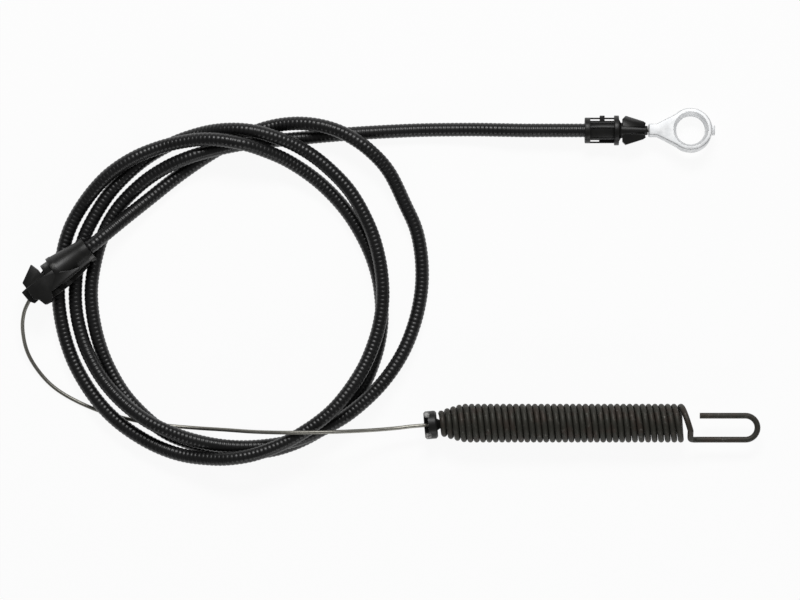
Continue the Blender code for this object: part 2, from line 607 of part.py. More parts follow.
def make_bracket_fitting(parts, cutters, look):
    """Make the moulded bracket fitting at the rear end of the conduit."""
    frame = bracket_frame()
    start_u = BARREL_ROOT_U - COLLAR_LENGTH - SPIGOT_LENGTH
    collar_u = BARREL_ROOT_U - COLLAR_LENGTH
    profile = [
        (0.0, BARREL_MOUTH_U), (BARREL_MOUTH_DIAMETER / 2, BARREL_MOUTH_U),
        (BARREL_MOUTH_DIAMETER / 2, BARREL_MOUTH_U - BARREL_STRAIGHT_LENGTH),
        (BARREL_ROOT_DIAMETER / 2, BARREL_ROOT_U), (COLLAR_DIAMETER / 2, BARREL_ROOT_U),
        (COLLAR_DIAMETER / 2, collar_u), (SPIGOT_DIAMETER / 2, collar_u),
        (SPIGOT_DIAMETER / 2, start_u), (0.0, start_u),
    ]
    fitting = turned_mesh("bracket_fitting", profile, FITTING_STEPS, parts, barrel_frame())

    def plate(name, outline, low, thickness):
        place = frame @ Matrix.Translation((0.0, 0.0, low + thickness / 2))
        points = [(u * MM, v * MM) for u, v in outline]
        combine(fitting, flat_outline(name, points, thickness, cutters, place), "UNION")

    plate("base_plate", BASE_PLATE_OUTLINE, BRACKET_SOLE_W, BASE_PLATE_THICKNESS)
    plate("left_tab", LEFT_TAB_OUTLINE, TAB_LOW_W, TAB_THICKNESS)
    plate("wire_cover", COVER_OUTLINE, COVER_LOW_W, COVER_THICKNESS)
    plate("top_plate", TOP_PLATE_OUTLINE, TOP_PLATE_LOW_W, TOP_PLATE_THICKNESS)
    web_low = BRACKET_SOLE_W + BASE_PLATE_THICKNESS - CLEARANCE
    web_height = COVER_LOW_W - web_low + CLEARANCE
    web_size = (COVER_WEB_LENGTH, COVER_WEB_WIDTH, web_height)
    web_u = start_u + COVER_WEB_LAP - COVER_WEB_LENGTH / 2
    web_place = Matrix.Translation((web_u, BARREL_AXIS_V / 2, web_low + web_height / 2))
    combine(fitting, block("cover_web", web_size, cutters, frame @ web_place), "UNION")
    for index, (u, v) in enumerate(CLIP_RIBS):
        low = BRACKET_SOLE_W + BASE_PLATE_THICKNESS
        place = frame @ Matrix.Translation((u * MM, v * MM, low + CLIP_RIB_SIZE[2] / 2 - CLEARANCE))
        combine(fitting, block(f"clip_rib_{index + 1}", CLIP_RIB_SIZE, cutters, place), "UNION")
    lip_u = BARREL_MOUTH_U - MOUTH_LIP_SIZE[0] / 2 + CLEARANCE
    lip_place = frame @ Matrix.Translation((lip_u, MOUTH_LIP_V, 0.0))
    combine(fitting, block("mouth_lip", MOUTH_LIP_SIZE, cutters, lip_place), "UNION")
    below = 2 * BARREL_MOUTH_U
    sole_place = frame @ Matrix.Translation((0.0, 0.0, BRACKET_SOLE_W - below / 2))
    combine(fitting, block("sole_cut", (2 * below, 2 * below, below), cutters, sole_place), "DIFFERENCE")
    seat_length = BRACKET_SEAT_DEPTH + COLLAR_LENGTH
    seat_middle = BARREL_MOUTH_U + COLLAR_LENGTH - seat_length / 2
    seat_place = barrel_frame() @ Matrix.Translation((0.0, 0.0, seat_middle))
    seat = rod("conduit_seat", CONDUIT_SEAT_RADIUS, seat_length, BORE_STEPS, cutters, seat_place)
    combine(fitting, seat, "DIFFERENCE")
    reach = 2 * BARREL_MOUTH_U
    tunnel_points = [point for point in wire_line() if (frame.inverted() @ point).length < reach]
    tunnel_radius = WIRE_BORE_RADIUS + CLEARANCE
    tunnel_curve = swept_curve("wire_tunnel", tunnel_points, tunnel_radius, TUBE_RESOLUTION, cutters)
    tunnel = as_mesh_object(tunnel_curve, cutters)
    combine(fitting, tunnel, "DIFFERENCE")
    set_material(fitting, look)
    shade(fitting)


def make_plug(parts, cutters, look, nipple_look):
    """Make the plug in the small end of the spring, and the nipple that holds the wire in it."""
    frame = plug_frame()
    head_end = PLUG_HEAD_START + PLUG_HEAD_LENGTH
    neck_end = head_end + PLUG_NECK_LENGTH
    end = plug_end()
    seat_radius = NIPPLE_DIAMETER / 2 + CLEARANCE
    seat = end - NIPPLE_SEAT_DEPTH
    chamfer = PLUG_HEAD_CHAMFER
    head = PLUG_HEAD_DIAMETER / 2
    outer = [
        (head - chamfer, PLUG_HEAD_START), (head, PLUG_HEAD_START + chamfer),
        (head, head_end - chamfer), (head - chamfer, head_end),
        (PLUG_NECK_ROOT_DIAMETER / 2, head_end), (PLUG_NECK_DIAMETER / 2, head_end + PLUG_NECK_ROOT_LENGTH),
        (PLUG_NECK_DIAMETER / 2, neck_end),
        (PLUG_BARB_DIAMETER / 2, neck_end), (PLUG_BARB_END_DIAMETER / 2, end),
    ]
    bore = [
        (WIRE_BORE_RADIUS, PLUG_HEAD_START), (WIRE_BORE_RADIUS, seat),
        (seat_radius, seat), (seat_radius, end),
    ]
    plug = turned_mesh("spring_plug", list(reversed(outer)) + bore, FITTING_STEPS, parts, frame)
    slot_size = (PLUG_HEAD_DIAMETER, PLUG_SLOT_WIDTH, PLUG_SLOT_DEPTH * 2)
    slot_place = frame @ Matrix.Translation((PLUG_SLOT_FLOOR - PLUG_HEAD_DIAMETER / 2, 0.0, PLUG_HEAD_START))
    combine(plug, block("plug_slot", slot_size, cutters, slot_place), "DIFFERENCE")
    set_material(plug, look)
    shade(plug)
    radius = NIPPLE_DIAMETER / 2
    low = seat + CLEARANCE
    high = low + NIPPLE_LENGTH
    profile = [(radius, high), (radius, low), (WIRE_BORE_RADIUS, low), (WIRE_BORE_RADIUS, high)]
    nipple = turned_mesh("wire_nipple", profile, NIPPLE_STEPS, parts, frame)
    set_material(nipple, nipple_look)
    shade(nipple)


def spring_coil_points():
    """Points of the leaning coils, from the small end, the last turn swinging out to the hook."""
    points = []
    last_angle = 2 * math.pi * SPRING_TURNS + SPRING_LEAVE_ANGLE
    step = 2 * math.pi / SPRING_STEPS_PER_TURN
    for index in range(int(round(last_angle / step)) + 1):
        angle = index * step
        turns = angle / (2 * math.pi)
        narrowing = max(0.0, 1.0 - turns / SPRING_TAPER_TURNS) ** SPRING_TAPER_POWER
        radius = SPRING_MEAN_RADIUS - (SPRING_MEAN_RADIUS - SPRING_SMALL_RADIUS) * narrowing
        swing = max(0.0, 1.0 - (last_angle - angle) / SPRING_SWING_ANGLE)
        advance = SPRING_SWING_REACH * swing ** 2 * (3.0 - 2.0 * swing)
        lean = SPRING_LEAN * (1.0 - narrowing) * radius * math.cos(angle)
        points.append(Vector((
            SPRING_START_X + SPRING_PITCH * turns + advance - lean,
            SPRING_AXIS_Y + radius * math.cos(angle),
            SPRING_AXIS_Z + radius * math.sin(angle))))
    return points


def hook_points():
    """Points of the long hook, which lies flat at the height of the spring's axis."""
    low_y = SPRING_AXIS_Y - SPRING_MEAN_RADIUS
    centre_y = low_y + HOOK_BEND_RADIUS
    centre_x = HOOK_REACH - SPRING_WIRE_RADIUS - HOOK_BEND_RADIUS
    lead_x = SPRING_START_X + SPRING_PITCH * (SPRING_TURNS + HOOK_LEAD_TURNS) + SPRING_SWING_REACH
    points = [
        Vector((lead_x, low_y + HOOK_LEAD_SHIFT, SPRING_AXIS_Z + SPRING_WIRE_DIAMETER)),
        Vector((HOOK_START_X - SPRING_WIRE_RADIUS, low_y, SPRING_AXIS_Z + HOOK_LEAD_SHIFT)),
        Vector((HOOK_START_X + SPRING_WIRE_RADIUS, low_y, SPRING_AXIS_Z)),
    ]
    for index in range(HOOK_BEND_STEPS + 1):
        angle = -math.pi / 2 + math.pi * index / HOOK_BEND_STEPS
        points.append(Vector((
            centre_x + HOOK_BEND_RADIUS * math.cos(angle),
            centre_y + HOOK_BEND_RADIUS * math.sin(angle),
            SPRING_AXIS_Z)))
    points.append(Vector((HOOK_RETURN_X, centre_y + HOOK_BEND_RADIUS, SPRING_AXIS_Z)))
    return points


def make_spring(parts, look):
    """Make the close-wound spring and its hook as one bent wire."""
    points = spring_coil_points() + hook_points()
    spring = as_mesh_object(
        swept_curve("spring", points, SPRING_WIRE_RADIUS, SPRING_WIRE_RESOLUTION, parts), parts)
    spring_frame = Matrix.Translation((SPRING_START_X, SPRING_AXIS_Y, SPRING_AXIS_Z))
    spring.data.transform(spring_frame.inverted())
    spring.matrix_world = spring_frame
    set_material(spring, look)
    shade(spring, COIL_SMOOTH_ANGLE)


def main():
    """Build the whole cable."""
    clear_scene()
    parts = new_collection("mower_clutch_cable")
    cutters = new_collection("cutters")
    jacket_look = new_material("black_jacket", (0.018, 0.018, 0.019), 0.38, 0.0)
    winding_look = new_material("winding_steel", (0.42, 0.42, 0.43), 0.4, 1.0)
    wire_look = new_material("galvanised_wire", (0.46, 0.45, 0.42), 0.42, 1.0)
    moulding_look = new_material("black_moulding", (0.03, 0.03, 0.029), 0.5, 0.0)
    zinc_look = new_material("cast_zinc", (0.82, 0.83, 0.84), 0.3, 1.0)
    spring_look = new_material("spring_steel", (0.1, 0.097, 0.085), 0.5, 0.6)
    make_conduit(parts, jacket_look, winding_look)
    make_wire(parts, wire_look)
    make_front_fitting(parts, cutters, moulding_look)
    make_eyelet(parts, cutters, zinc_look)
    make_bracket_fitting(parts, cutters, moulding_look)
    make_plug(parts, cutters, moulding_look, wire_look)
    make_spring(parts, spring_look)


if __name__ == "__main__":
    main()
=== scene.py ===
import logging
import math
from dataclasses import dataclass
from enum import Enum
from itertools import accumulate
from typing import Iterable, Sequence, Union

import bmesh
import bpy
from bpy.types import ID, Material, Object
from mathutils import Matrix, Vector


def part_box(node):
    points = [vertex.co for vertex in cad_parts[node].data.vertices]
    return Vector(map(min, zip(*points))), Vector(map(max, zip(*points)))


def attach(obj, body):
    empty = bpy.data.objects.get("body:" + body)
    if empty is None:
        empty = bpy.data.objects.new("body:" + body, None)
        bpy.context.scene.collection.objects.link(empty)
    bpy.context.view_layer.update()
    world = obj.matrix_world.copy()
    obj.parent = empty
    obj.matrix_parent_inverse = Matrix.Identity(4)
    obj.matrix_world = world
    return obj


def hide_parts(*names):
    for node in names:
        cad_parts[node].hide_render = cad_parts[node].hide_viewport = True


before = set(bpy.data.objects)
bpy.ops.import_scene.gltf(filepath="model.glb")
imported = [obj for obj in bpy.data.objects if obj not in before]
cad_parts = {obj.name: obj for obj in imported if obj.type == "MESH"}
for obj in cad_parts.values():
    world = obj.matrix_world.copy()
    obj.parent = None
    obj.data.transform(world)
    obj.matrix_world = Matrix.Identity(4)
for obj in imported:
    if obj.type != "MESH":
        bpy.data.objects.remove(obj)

LOG = logging.getLogger("clutch_cable")
MM = 0.001
CLEARANCE = 0.3 * MM
CONDUIT_DIAMETER = 5.0 * MM
WIRE_DIAMETER = 1.5 * MM
CONDUIT_SEAT = CONDUIT_DIAMETER / 2 + CLEARANCE
WIRE_BORE = WIRE_DIAMETER / 2 + CLEARANCE

# Distances under which corners are one, turns in degrees over which edges stay sharp, points per stretch
SAME_CORNER = 0.001 * MM
SAME_RING = 0.0005 * MM
SHARP_ANGLE = 38.0
SHARP_ANGLE_OF_TUBES = 80.0
CURVE_SAMPLES = 24

# Turn that brings a shape's own Z to +X
TO_X = Matrix.Rotation(math.pi / 2, 4, "Y")

# The photograph's frame and the scale that its conduit gives
PHOTO_WIDTH = 800
PHOTO_MIDDLE = (400.0, 300.0)
PHOTO_ORIGIN = (391.65, 275.7)
METRES_PER_PIXEL = 0.385 * MM
ROUTE_STEPS_PER_METRE = 10000

Pair = tuple[float, float]
Point = tuple[float, float, float]
Colour = tuple[float, float, float]
Outline = Sequence[Pair]

# Pale spots, partly wear and partly painted highlights, each with its X, Y, radius and share of the pale
# colour
Spots = tuple[tuple[float, float, float, float], ...]

# Where the conduit's middle line lies, from the rear fitting to the front one, in route steps
CONDUIT_ROUTE: tuple[Point, ...] = (
    (-1148, 118, 100), (-1096, 162, 88), (-1027, 220, 64), (-930, 299, 36), (-834, 376, 26), (-738, 444, 26),
    (-642, 502, 26), (-545, 549, 26), (-449, 578, 32), (-353, 586, 58), (-257, 573, 80), (-168, 539, 81),
    (-83, 480, 78), (-10, 399, 60), (51, 276, 42), (96, 172, 30), (116, 53, 26), (113, -67, 29),
    (86, -190, 42), (36, -309, 63), (-45, -423, 81), (-153, -523, 83), (-257, -586, 82), (-372, -633, 82),
    (-507, -656, 83), (-642, -655, 83), (-776, -628, 88), (-892, -583, 102), (-969, -538, 104),
    (-1046, -474, 93), (-1109, -402, 76), (-1156, -325, 58), (-1192, -240, 36), (-1216, -132, 26),
    (-1217, -17, 26), (-1196, 114, 26), (-1154, 214, 26), (-1078, 330, 26), (-969, 435, 26), (-853, 506, 26),
    (-738, 547, 38), (-642, 561, 80), (-545, 557, 106), (-449, 533, 102), (-353, 492, 86), (-257, 425, 81),
    (-160, 324, 80), (-89, 197, 80), (-51, 80, 81), (-35, -36, 82), (-39, -140, 84), (-64, -248, 92),
    (-113, -363, 109), (-193, -479, 134), (-276, -558, 138), (-391, -631, 138), (-507, -680, 136),
    (-603, -700, 128), (-699, -703, 98), (-815, -688, 62), (-930, -644, 49), (-1046, -569, 46),
    (-1135, -479, 44), (-1210, -363, 36), (-1256, -248, 28), (-1281, -124, 26), (-1282, -17, 26),
    (-1256, 137, 26), (-1203, 253, 32), (-1111, 368, 59), (-1007, 444, 80), (-892, 493, 83),
    (-776, 518, 108), (-680, 522, 134), (-584, 508, 142), (-499, 484, 114), (-391, 437, 70), (-276, 357, 42),
    (-177, 253, 29), (-105, 137, 26), (-60, 22, 26), (-40, -94, 26), (-41, -209, 26), (-67, -325, 26),
    (-119, -440, 26), (-210, -546, 26), (-314, -618, 26), (-430, -665, 26), (-545, -682, 26),
    (-661, -676, 26), (-776, -645, 29), (-892, -590, 45), (-1011, -479, 42), (-1086, -363, 28),
    (-1131, -248, 26), (-1155, -124, 26), (-1154, -9, 26), (-1120, 137, 26), (-1060, 253, 26),
    (-969, 349, 36), (-873, 414, 60), (-776, 456, 82), (-680, 484, 82), (-584, 504, 79), (-499, 516, 53),
    (-391, 526, 27), (-237, 541, 26), (-83, 552, 26), (109, 561, 26), (302, 563, 36), (417, 561, 51),
    (510, 559, 57.5),
)

# Where the bare wire lies, from the plug to the rear fitting, in route steps
BARE_WIRE_ROUTE: tuple[Point, ...] = (
    (70, -580, 75), (10, -587, 82), (-91, -594, 112), (-199, -598, 156), (-307, -600, 176),
    (-411, -601, 172), (-526, -599, 128), (-642, -593, 60), (-757, -587, 16), (-873, -577, 8),
    (-988, -559, 8), (-1111, -527, 8), (-1219, -482, 8), (-1304, -429, 9), (-1365, -363, 16),
    (-1405, -290, 32), (-1420, -209, 58), (-1414, -146, 80), (-1394, -99, 93), (-1369, -59, 99),
    (-1342, -31, 100),
)


class Value:
    """A shader value that takes part in Python sums."""

    def __init__(self, recipe: "Recipe", socket: bpy.types.NodeSocket) -> None:
        """Wrap an output socket of a material's node."""
        self.recipe = recipe
        self.socket = socket

    def sum_of(self, operation: str, *terms: "Term") -> "Value":
        """Result of a Math node with these terms, in order."""
        return self.recipe.node("ShaderNodeMath", {"operation": operation}, dict(enumerate(terms)))

    def __add__(self, other: "Term") -> "Value":
        """Sum of both."""
        return self.sum_of("ADD", self, other)

    __radd__ = __add__

    def __sub__(self, other: "Term") -> "Value":
        """This less the other."""
        return self.sum_of("SUBTRACT", self, other)

    def __rsub__(self, other: "Term") -> "Value":
        """The other less this."""
        return self.sum_of("SUBTRACT", other, self)

    def __mul__(self, other: "Term") -> "Value":
        """Product of both."""
        return self.sum_of("MULTIPLY", self, other)

    __rmul__ = __mul__

    def above(self, level: float, width: float) -> "Value":
        """Mask that rises from 0 at a level to 1 at a width above it."""
        inputs = {"Value": self, "From Min": level, "From Max": level + width}
        return self.recipe.node("ShaderNodeMapRange", {"interpolation_type": "SMOOTHSTEP"}, inputs)


Term = Union[Value, float]


class Recipe:
    """A material's node tree, filled by one method that makes any node."""

    def __init__(self, name: str) -> None:
        """Start an empty material.

        Args:
            name: Its name.
        """
        self.material = bpy.data.materials.new(name)
        self.material.use_nodes = True
        self.tree = self.material.node_tree
        self.tree.nodes.clear()

    def node(self, kind: str, settings: dict, inputs: dict, output: Union[int, str] = 0) -> Value:
        """Make a node of any kind.

        Args:
            kind: The node's type.
            settings: Its own settings, by name.
            inputs: The values or links of its sockets, by name or number.
            output: The output to hand back.

        Returns:
            The chosen output.
        """
        made = self.tree.nodes.new(kind)
        for name, setting in settings.items():
            setattr(made, name, setting)
        for key, given in inputs.items():
            if isinstance(given, Value):
                self.tree.links.new(given.socket, made.inputs[key])
            else:
                made.inputs[key].default_value = given
        return Value(self, made.outputs[output])

    def place(self) -> Value:
        """Object coordinates of the surface, in metres."""
        return self.node("ShaderNodeTexCoord", {}, {}, "Object")

    def clouds(self, size: float, detail: float = 3.0, roughness: float = 0.5) -> Value:
        """Soft noise from 0 to 1 with patches of about a size in metres, and finer noise on it."""
        inputs = {"Vector": self.place(), "Scale": 1.0 / size, "Detail": detail, "Roughness": roughness}
        return self.node("ShaderNodeTexNoise", {}, inputs)

    def mixed(self, factor: Term, first: Union[Value, Colour], second: Union[Value, Colour]) -> Value:
        """Blend of two colours or links, from 0 for the first to 1 for the second."""
        ends = [end if isinstance(end, Value) else (*end, 1.0) for end in (first, second)]
        return self.node("ShaderNodeMix", {"data_type": "RGBA"}, {0: factor, 6: ends[0], 7: ends[1]}, 2)

    def relief(self, height: Value, depth: float) -> Value:
        """Normal bent by a height, where 1 stands for a depth in metres."""
        return self.node("ShaderNodeBump", {}, {"Height": height, "Distance": depth, "Strength": 1.0})

    def finish(self, shader: Value) -> Material:
        """Send a shader to the output.

        Args:
            shader: The surface shader.

        Returns:
            The finished material.
        """
        output = self.tree.nodes.new("ShaderNodeOutputMaterial")
        self.tree.links.new(shader.socket, output.inputs["Surface"])
        return self.material

    def surface(self, inputs: dict) -> Material:
        """Finish the material with a Principled shader of these inputs."""
        return self.finish(self.node("ShaderNodeBsdfPrincipled", {}, inputs))


@dataclass(frozen=True)
class Vinyl:
    """Black vinyl of the conduit's jacket, with faint smears and a fine skin."""

    slot: str = "jacket"
    dark: Colour = (0.0035, 0.0035, 0.0038)
    light: Colour = (0.0095, 0.0095, 0.0098)
    smear_size: float = 9.0 * MM
    skin_size: float = 0.22 * MM
    skin_depth: float = 0.012 * MM
    rough: float = 0.27
    mirror: float = 0.46
    smear_rough: float = 0.12
    skin_rough: float = 0.06

    def material(self) -> Material:
        """Build the material.

        Returns:
            The finished material.
        """
        recipe = Recipe("black_vinyl")
        smear = recipe.clouds(self.smear_size)
        skin = recipe.clouds(self.skin_size, 2.0)
        return recipe.surface({
            "Base Color": recipe.mixed(smear, self.dark, self.light),
            "Specular IOR Level": self.mirror,
            "Roughness": self.rough + self.smear_rough * smear + self.skin_rough * skin,
            "Normal": recipe.relief(skin, self.skin_depth)})


@dataclass(frozen=True)
class Nylon:
    """Black moulded nylon, satin, with a fine grain, paler flow marks and pale spots that are partly wear
    and partly painted highlights.
    """

    slot: str = "moulding"
    dark: Colour = (0.0045, 0.0045, 0.0043)
    light: Colour = (0.013, 0.0128, 0.012)
    flow_size: float = 3.2 * MM
    grain_size: float = 0.16 * MM
    blot_size: float = 0.9 * MM
    grain_depth: float = 0.018 * MM
    rough: float = 0.33
    flow_rough: float = 0.16
    mirror: float = 0.36
    blot_mask: Pair = (0.3, 0.25)
    # Pale spots painted into the colour: partly wear, partly painted highlights on rims, collars and lips
    wear_and_highlight_mask: Pair = (0.0, 0.7)
    wear_and_highlight_colour: Colour = (0.60, 0.595, 0.58)
    wear_and_highlight_spots: Spots = ()

    def wear_and_highlight(self, recipe: Recipe) -> Term:
        """Mask of the pale spots, partly wear and partly painted highlights, each a soft-edged spot seen
        from above.

        Args:
            recipe: The material that it is part of.

        Returns:
            The mask, from 0 to 1, or 0 where there is no spot.
        """
        flat = recipe.node(
            "ShaderNodeVectorMath", {"operation": "MULTIPLY"}, {0: recipe.place(), 1: (1.0, 1.0, 0.0)})
        mask: Term = 0.0
        for x, y, radius, share in self.wear_and_highlight_spots:
            away = recipe.node(
                "ShaderNodeVectorMath", {"operation": "DISTANCE"}, {0: flat, 1: (x, y, 0.0)}, "Value")
            mask = mask + share * (1.0 - away * (1.0 / radius)).above(*self.wear_and_highlight_mask)
        return mask

    def material(self) -> Material:
        """Build the material.

        Returns:
            The finished material.
        """
        recipe = Recipe("black_nylon")
        flow = recipe.clouds(self.flow_size, 4.0, 0.6)
        grain = recipe.clouds(self.grain_size, 2.0)
        blot = recipe.clouds(self.blot_size, 3.0, 0.6).above(*self.blot_mask)
        plain = recipe.mixed(flow, self.dark, self.light)
        return recipe.surface({
            # Base colour with the pale spots mixed in, partly wear and partly painted highlights
            "Base Color": recipe.mixed(blot * self.wear_and_highlight(recipe), plain, self.wear_and_highlight_colour),
            "Specular IOR Level": self.mirror,
            "Roughness": self.rough + self.flow_rough * flow,
            "Normal": recipe.relief(grain, self.grain_depth)})


@dataclass(frozen=True)
class CastZinc:
    """Bright die-cast zinc, with a slightly uneven, frosted skin."""

    slot: str = "zinc"
    dark: Colour = (0.72, 0.73, 0.74)
    light: Colour = (0.90, 0.905, 0.91)
    patch_size: float = 2.6 * MM
    grain_size: float = 0.5 * MM
    grain_depth: float = 0.012 * MM
    rough: float = 0.56
    patch_rough: float = 0.16
    patch_mask: Pair = (0.3, 0.4)
    grain_share: float = 0.5

    def material(self) -> Material:
        """Build the material.

        Returns:
            The finished material.
        """
        recipe = Recipe("cast_zinc")
        patch = recipe.clouds(self.patch_size, 4.0, 0.6)
        grain = recipe.clouds(self.grain_size, 3.0)
        return recipe.surface({
            "Base Color": recipe.mixed(patch.above(*self.patch_mask), self.dark, self.light),
            "Metallic": 1.0,
            "Roughness": self.rough + self.patch_rough * patch,
            "Normal": recipe.relief(patch + self.grain_share * grain, self.grain_depth)})


@dataclass(frozen=True)
class SpringSteel:
    """Dark oiled spring wire, matt, with brown stains and a few bright scuffs."""

    slot: str = "spring"
    dark: Colour = (0.026, 0.0255, 0.020)
    light: Colour = (0.052, 0.050, 0.040)
    stain: Colour = (0.046, 0.036, 0.028)
    scuff: Colour = (0.20, 0.195, 0.175)
    stain_size: float = 5.5 * MM
    scuff_size: float = 1.3 * MM
    grain_size: float = 0.2 * MM
    grain_depth: float = 0.02 * MM
    rough: float = 0.5
    grain_rough: float = 0.14
    scuff_rough: float = 0.1
    stain_mask: Pair = (0.46, 0.16)
    scuff_mask: Pair = (0.57, 0.13)
    scuff_share: float = 0.45
    metal: float = 0.35

    def material(self) -> Material:
        """Build the material.

        Returns:
            The finished material.
        """
        recipe = Recipe("spring_steel")
        stains = recipe.clouds(self.stain_size, 4.0, 0.6)
        scuffs = recipe.clouds(self.scuff_size, 5.0, 0.65).above(*self.scuff_mask)
        grain = recipe.clouds(self.grain_size, 3.0)
        plain = recipe.mixed(grain, self.dark, self.light)
        stained = recipe.mixed(stains.above(*self.stain_mask), plain, self.stain)
        return recipe.surface({
            "Base Color": recipe.mixed(self.scuff_share * scuffs, stained, self.scuff),
            "Metallic": self.metal,
            "Roughness": self.rough + self.grain_rough * grain - self.scuff_rough * scuffs,
            "Normal": recipe.relief(grain, self.grain_depth)})


@dataclass(frozen=True)
class GalvanisedWire:
    """Galvanised strand, pale grey with a faint yellow cast, darker in places."""

    slot: str = "wire"
    dark: Colour = (0.20, 0.195, 0.175)
    light: Colour = (0.38, 0.37, 0.33)
    dull_size: float = 22.0 * MM
    fleck_size: float = 0.7 * MM
    rough: float = 0.42
    fleck_rough: float = 0.08
    dull_mask: Pair = (0.35, 0.3)
    fleck_share: float = 0.25

    def material(self) -> Material:
        """Build the material.

        Returns:
            The finished material.
        """
        recipe = Recipe("galvanised_wire")
        dull = recipe.clouds(self.dull_size, 2.0)
        fleck = recipe.clouds(self.fleck_size, 3.0)
        share = (1.0 - self.fleck_share) * dull.above(*self.dull_mask) + self.fleck_share * fleck
        return recipe.surface({
            "Base Color": recipe.mixed(share, self.dark, self.light),
            "Metallic": 1.0,
            "Roughness": self.rough + self.fleck_rough * fleck})


@dataclass(frozen=True)
class WindingSteel:
    """Bright flat wire of the conduit's winding, hidden in its jacket."""

    slot: str = "winding"
    dark: Colour = (0.34, 0.34, 0.35)
    light: Colour = (0.50, 0.50, 0.51)
    streak_size: float = 1.6 * MM
    rough: float = 0.34
    streak_rough: float = 0.12

    def material(self) -> Material:
        """Build the material.

        Returns:
            The finished material.
        """
        recipe = Recipe("winding_steel")
        streak = recipe.clouds(self.streak_size, 4.0)
        return recipe.surface({
            "Base Color": recipe.mixed(streak, self.dark, self.light),
            "Metallic": 1.0,
            "Roughness": self.rough + self.streak_rough * streak})


@dataclass(frozen=True)
class WhiteGround:
    """White ground that stays white to the camera and keeps a faint shadow."""

    colour: Colour = (0.92, 0.92, 0.92)
    glow: float = 0.93
    roughness: float = 0.6

    def material(self) -> Material:
        """Build the material.

        Returns:
            The finished material.
        """
        recipe = Recipe("white_ground")
        rays = ("Is Camera Ray", "Is Glossy Ray", "Is Transmission Ray")
        share = self.glow * sum(recipe.node("ShaderNodeLightPath", {}, {}, ray) for ray in rays)
        paper = recipe.node("ShaderNodeBsdfPrincipled", {}, {
            "Base Color": (*self.colour, 1.0), "Roughness": self.roughness})
        white = recipe.node("ShaderNodeEmission", {}, {"Strength": 1.0})
        return recipe.finish(recipe.node("ShaderNodeMixShader", {}, {0: share, 1: paper, 2: white}))


Finish = Union[Vinyl, Nylon, CastZinc, SpringSteel, GalvanisedWire, WindingSteel]


class Body(Enum):
    """The model's moving bodies."""

    CABLE = "cable"
    EYELET = "eyelet"
    SPRING = "spring"


class Shell:
    """A closed shell in the making, shaped by mesh operators."""

    def __init__(self) -> None:
        """Start with an empty mesh."""
        self.mesh = bmesh.new()

    @classmethod
    def turned(cls, profile: Outline, steps: int) -> "Shell":
        """Turn a profile about Z.

        Args:
            profile: Pairs of radius and height, closed on itself or from axis to axis.
            steps: Facets round the axis.

        Returns:
            The turned shell.
        """
        made = cls()
        corners = [made.mesh.verts.new((radius, 0.0, height)) for radius, height in profile]
        edges = [made.mesh.edges.new(pair) for pair in zip(corners, corners[1:])]
        if profile[0][0] > 0.0:
            edges.append(made.mesh.edges.new((corners[-1], corners[0])))
        bmesh.ops.spin(
            made.mesh, geom=corners + edges, cent=(0, 0, 0), axis=(0, 0, 1),
            angle=2 * math.pi, steps=steps, use_merge=True)
        return made.closed()

    @classmethod
    def plate(cls, outline: Outline, low: float, high: float) -> "Shell":
        """Extrude a flat outline upwards.

        Args:
            outline: Corners as pairs of X and Y.
            low: Height of its underside.
            high: Height of its top.

        Returns:
            The plate.
        """
        made = cls()
        corners = [made.mesh.verts.new((across, along, low)) for across, along in outline]
        face = made.mesh.faces.new(corners)
        grown = bmesh.ops.extrude_face_region(made.mesh, geom=[face])
        lifted = [item for item in grown["geom"] if isinstance(item, bmesh.types.BMVert)]
        bmesh.ops.translate(made.mesh, verts=lifted, vec=(0, 0, high - low))
        return made.closed()

    @classmethod
    def block(cls, size: Point, centre: Point = (0.0, 0.0, 0.0)) -> "Shell":
        """Make a block.

        Args:
            size: Its three sides.
            centre: Its middle.

        Returns:
            The block.
        """
        made = cls()
        bmesh.ops.create_cube(
            made.mesh, size=1.0, matrix=Matrix.Translation(centre) @ Matrix.Diagonal((*size, 1.0)))
        return made

    def closed(self) -> "Shell":
        """Merge doubles and turn every face outwards.

        Returns:
            The shell itself.
        """
        bmesh.ops.remove_doubles(self.mesh, verts=self.mesh.verts, dist=SAME_CORNER)
        bmesh.ops.recalc_face_normals(self.mesh, faces=self.mesh.faces)
        return self

    def eased(self, width: float, segments: int = 2, angle: float = 30.0) -> "Shell":
        """Round the shell's edges.

        Args:
            width: Width of the rounding.
            segments: Steps across it.
            angle: Least turn of an edge that is rounded, in degrees.

        Returns:
            The shell itself.
        """
        sharp = [edge for edge in self.mesh.edges if edge.calc_face_angle(0.0) > math.radians(angle)]
        bmesh.ops.bevel(
            self.mesh, geom=sharp, offset=width, offset_type="OFFSET", segments=segments,
            profile=0.5, affect="EDGES", clamp_overlap=True, material=-1)
        return self

    def placed(self, matrix: Matrix) -> "Shell":
        """The shell itself, moved by a matrix."""
        bmesh.ops.transform(self.mesh, matrix=matrix, verts=self.mesh.verts)
        return self

    def as_object(self, name: str) -> Object:
        """Turn the shell into an object.

        Args:
            name: The object's name.

        Returns:
            The object, at the origin.
        """
        data = bpy.data.meshes.new(name)
        self.mesh.to_mesh(data)
        self.mesh.free()
        return link(name, data)


def about_x(angle: float) -> Matrix:
    """Turn from +Z towards +Y by an angle in degrees."""
    return Matrix.Rotation(math.radians(-angle), 4, "X")


def bore(radius: float, low: float, high: float, facets: int) -> Shell:
    """A round bar about Z between two heights, to cut a bore with."""
    return Shell.turned(((0.0, high), (radius, high), (radius, low), (0.0, low)), facets)


def link(name: str, data: ID) -> Object:
    """Put mesh or curve data in the scene.

    Args:
        name: The object's name.
        data: The mesh or curve.

    Returns:
        The new object.
    """
    made = bpy.data.objects.new(name, data)
    bpy.context.scene.collection.objects.link(made)
    return made


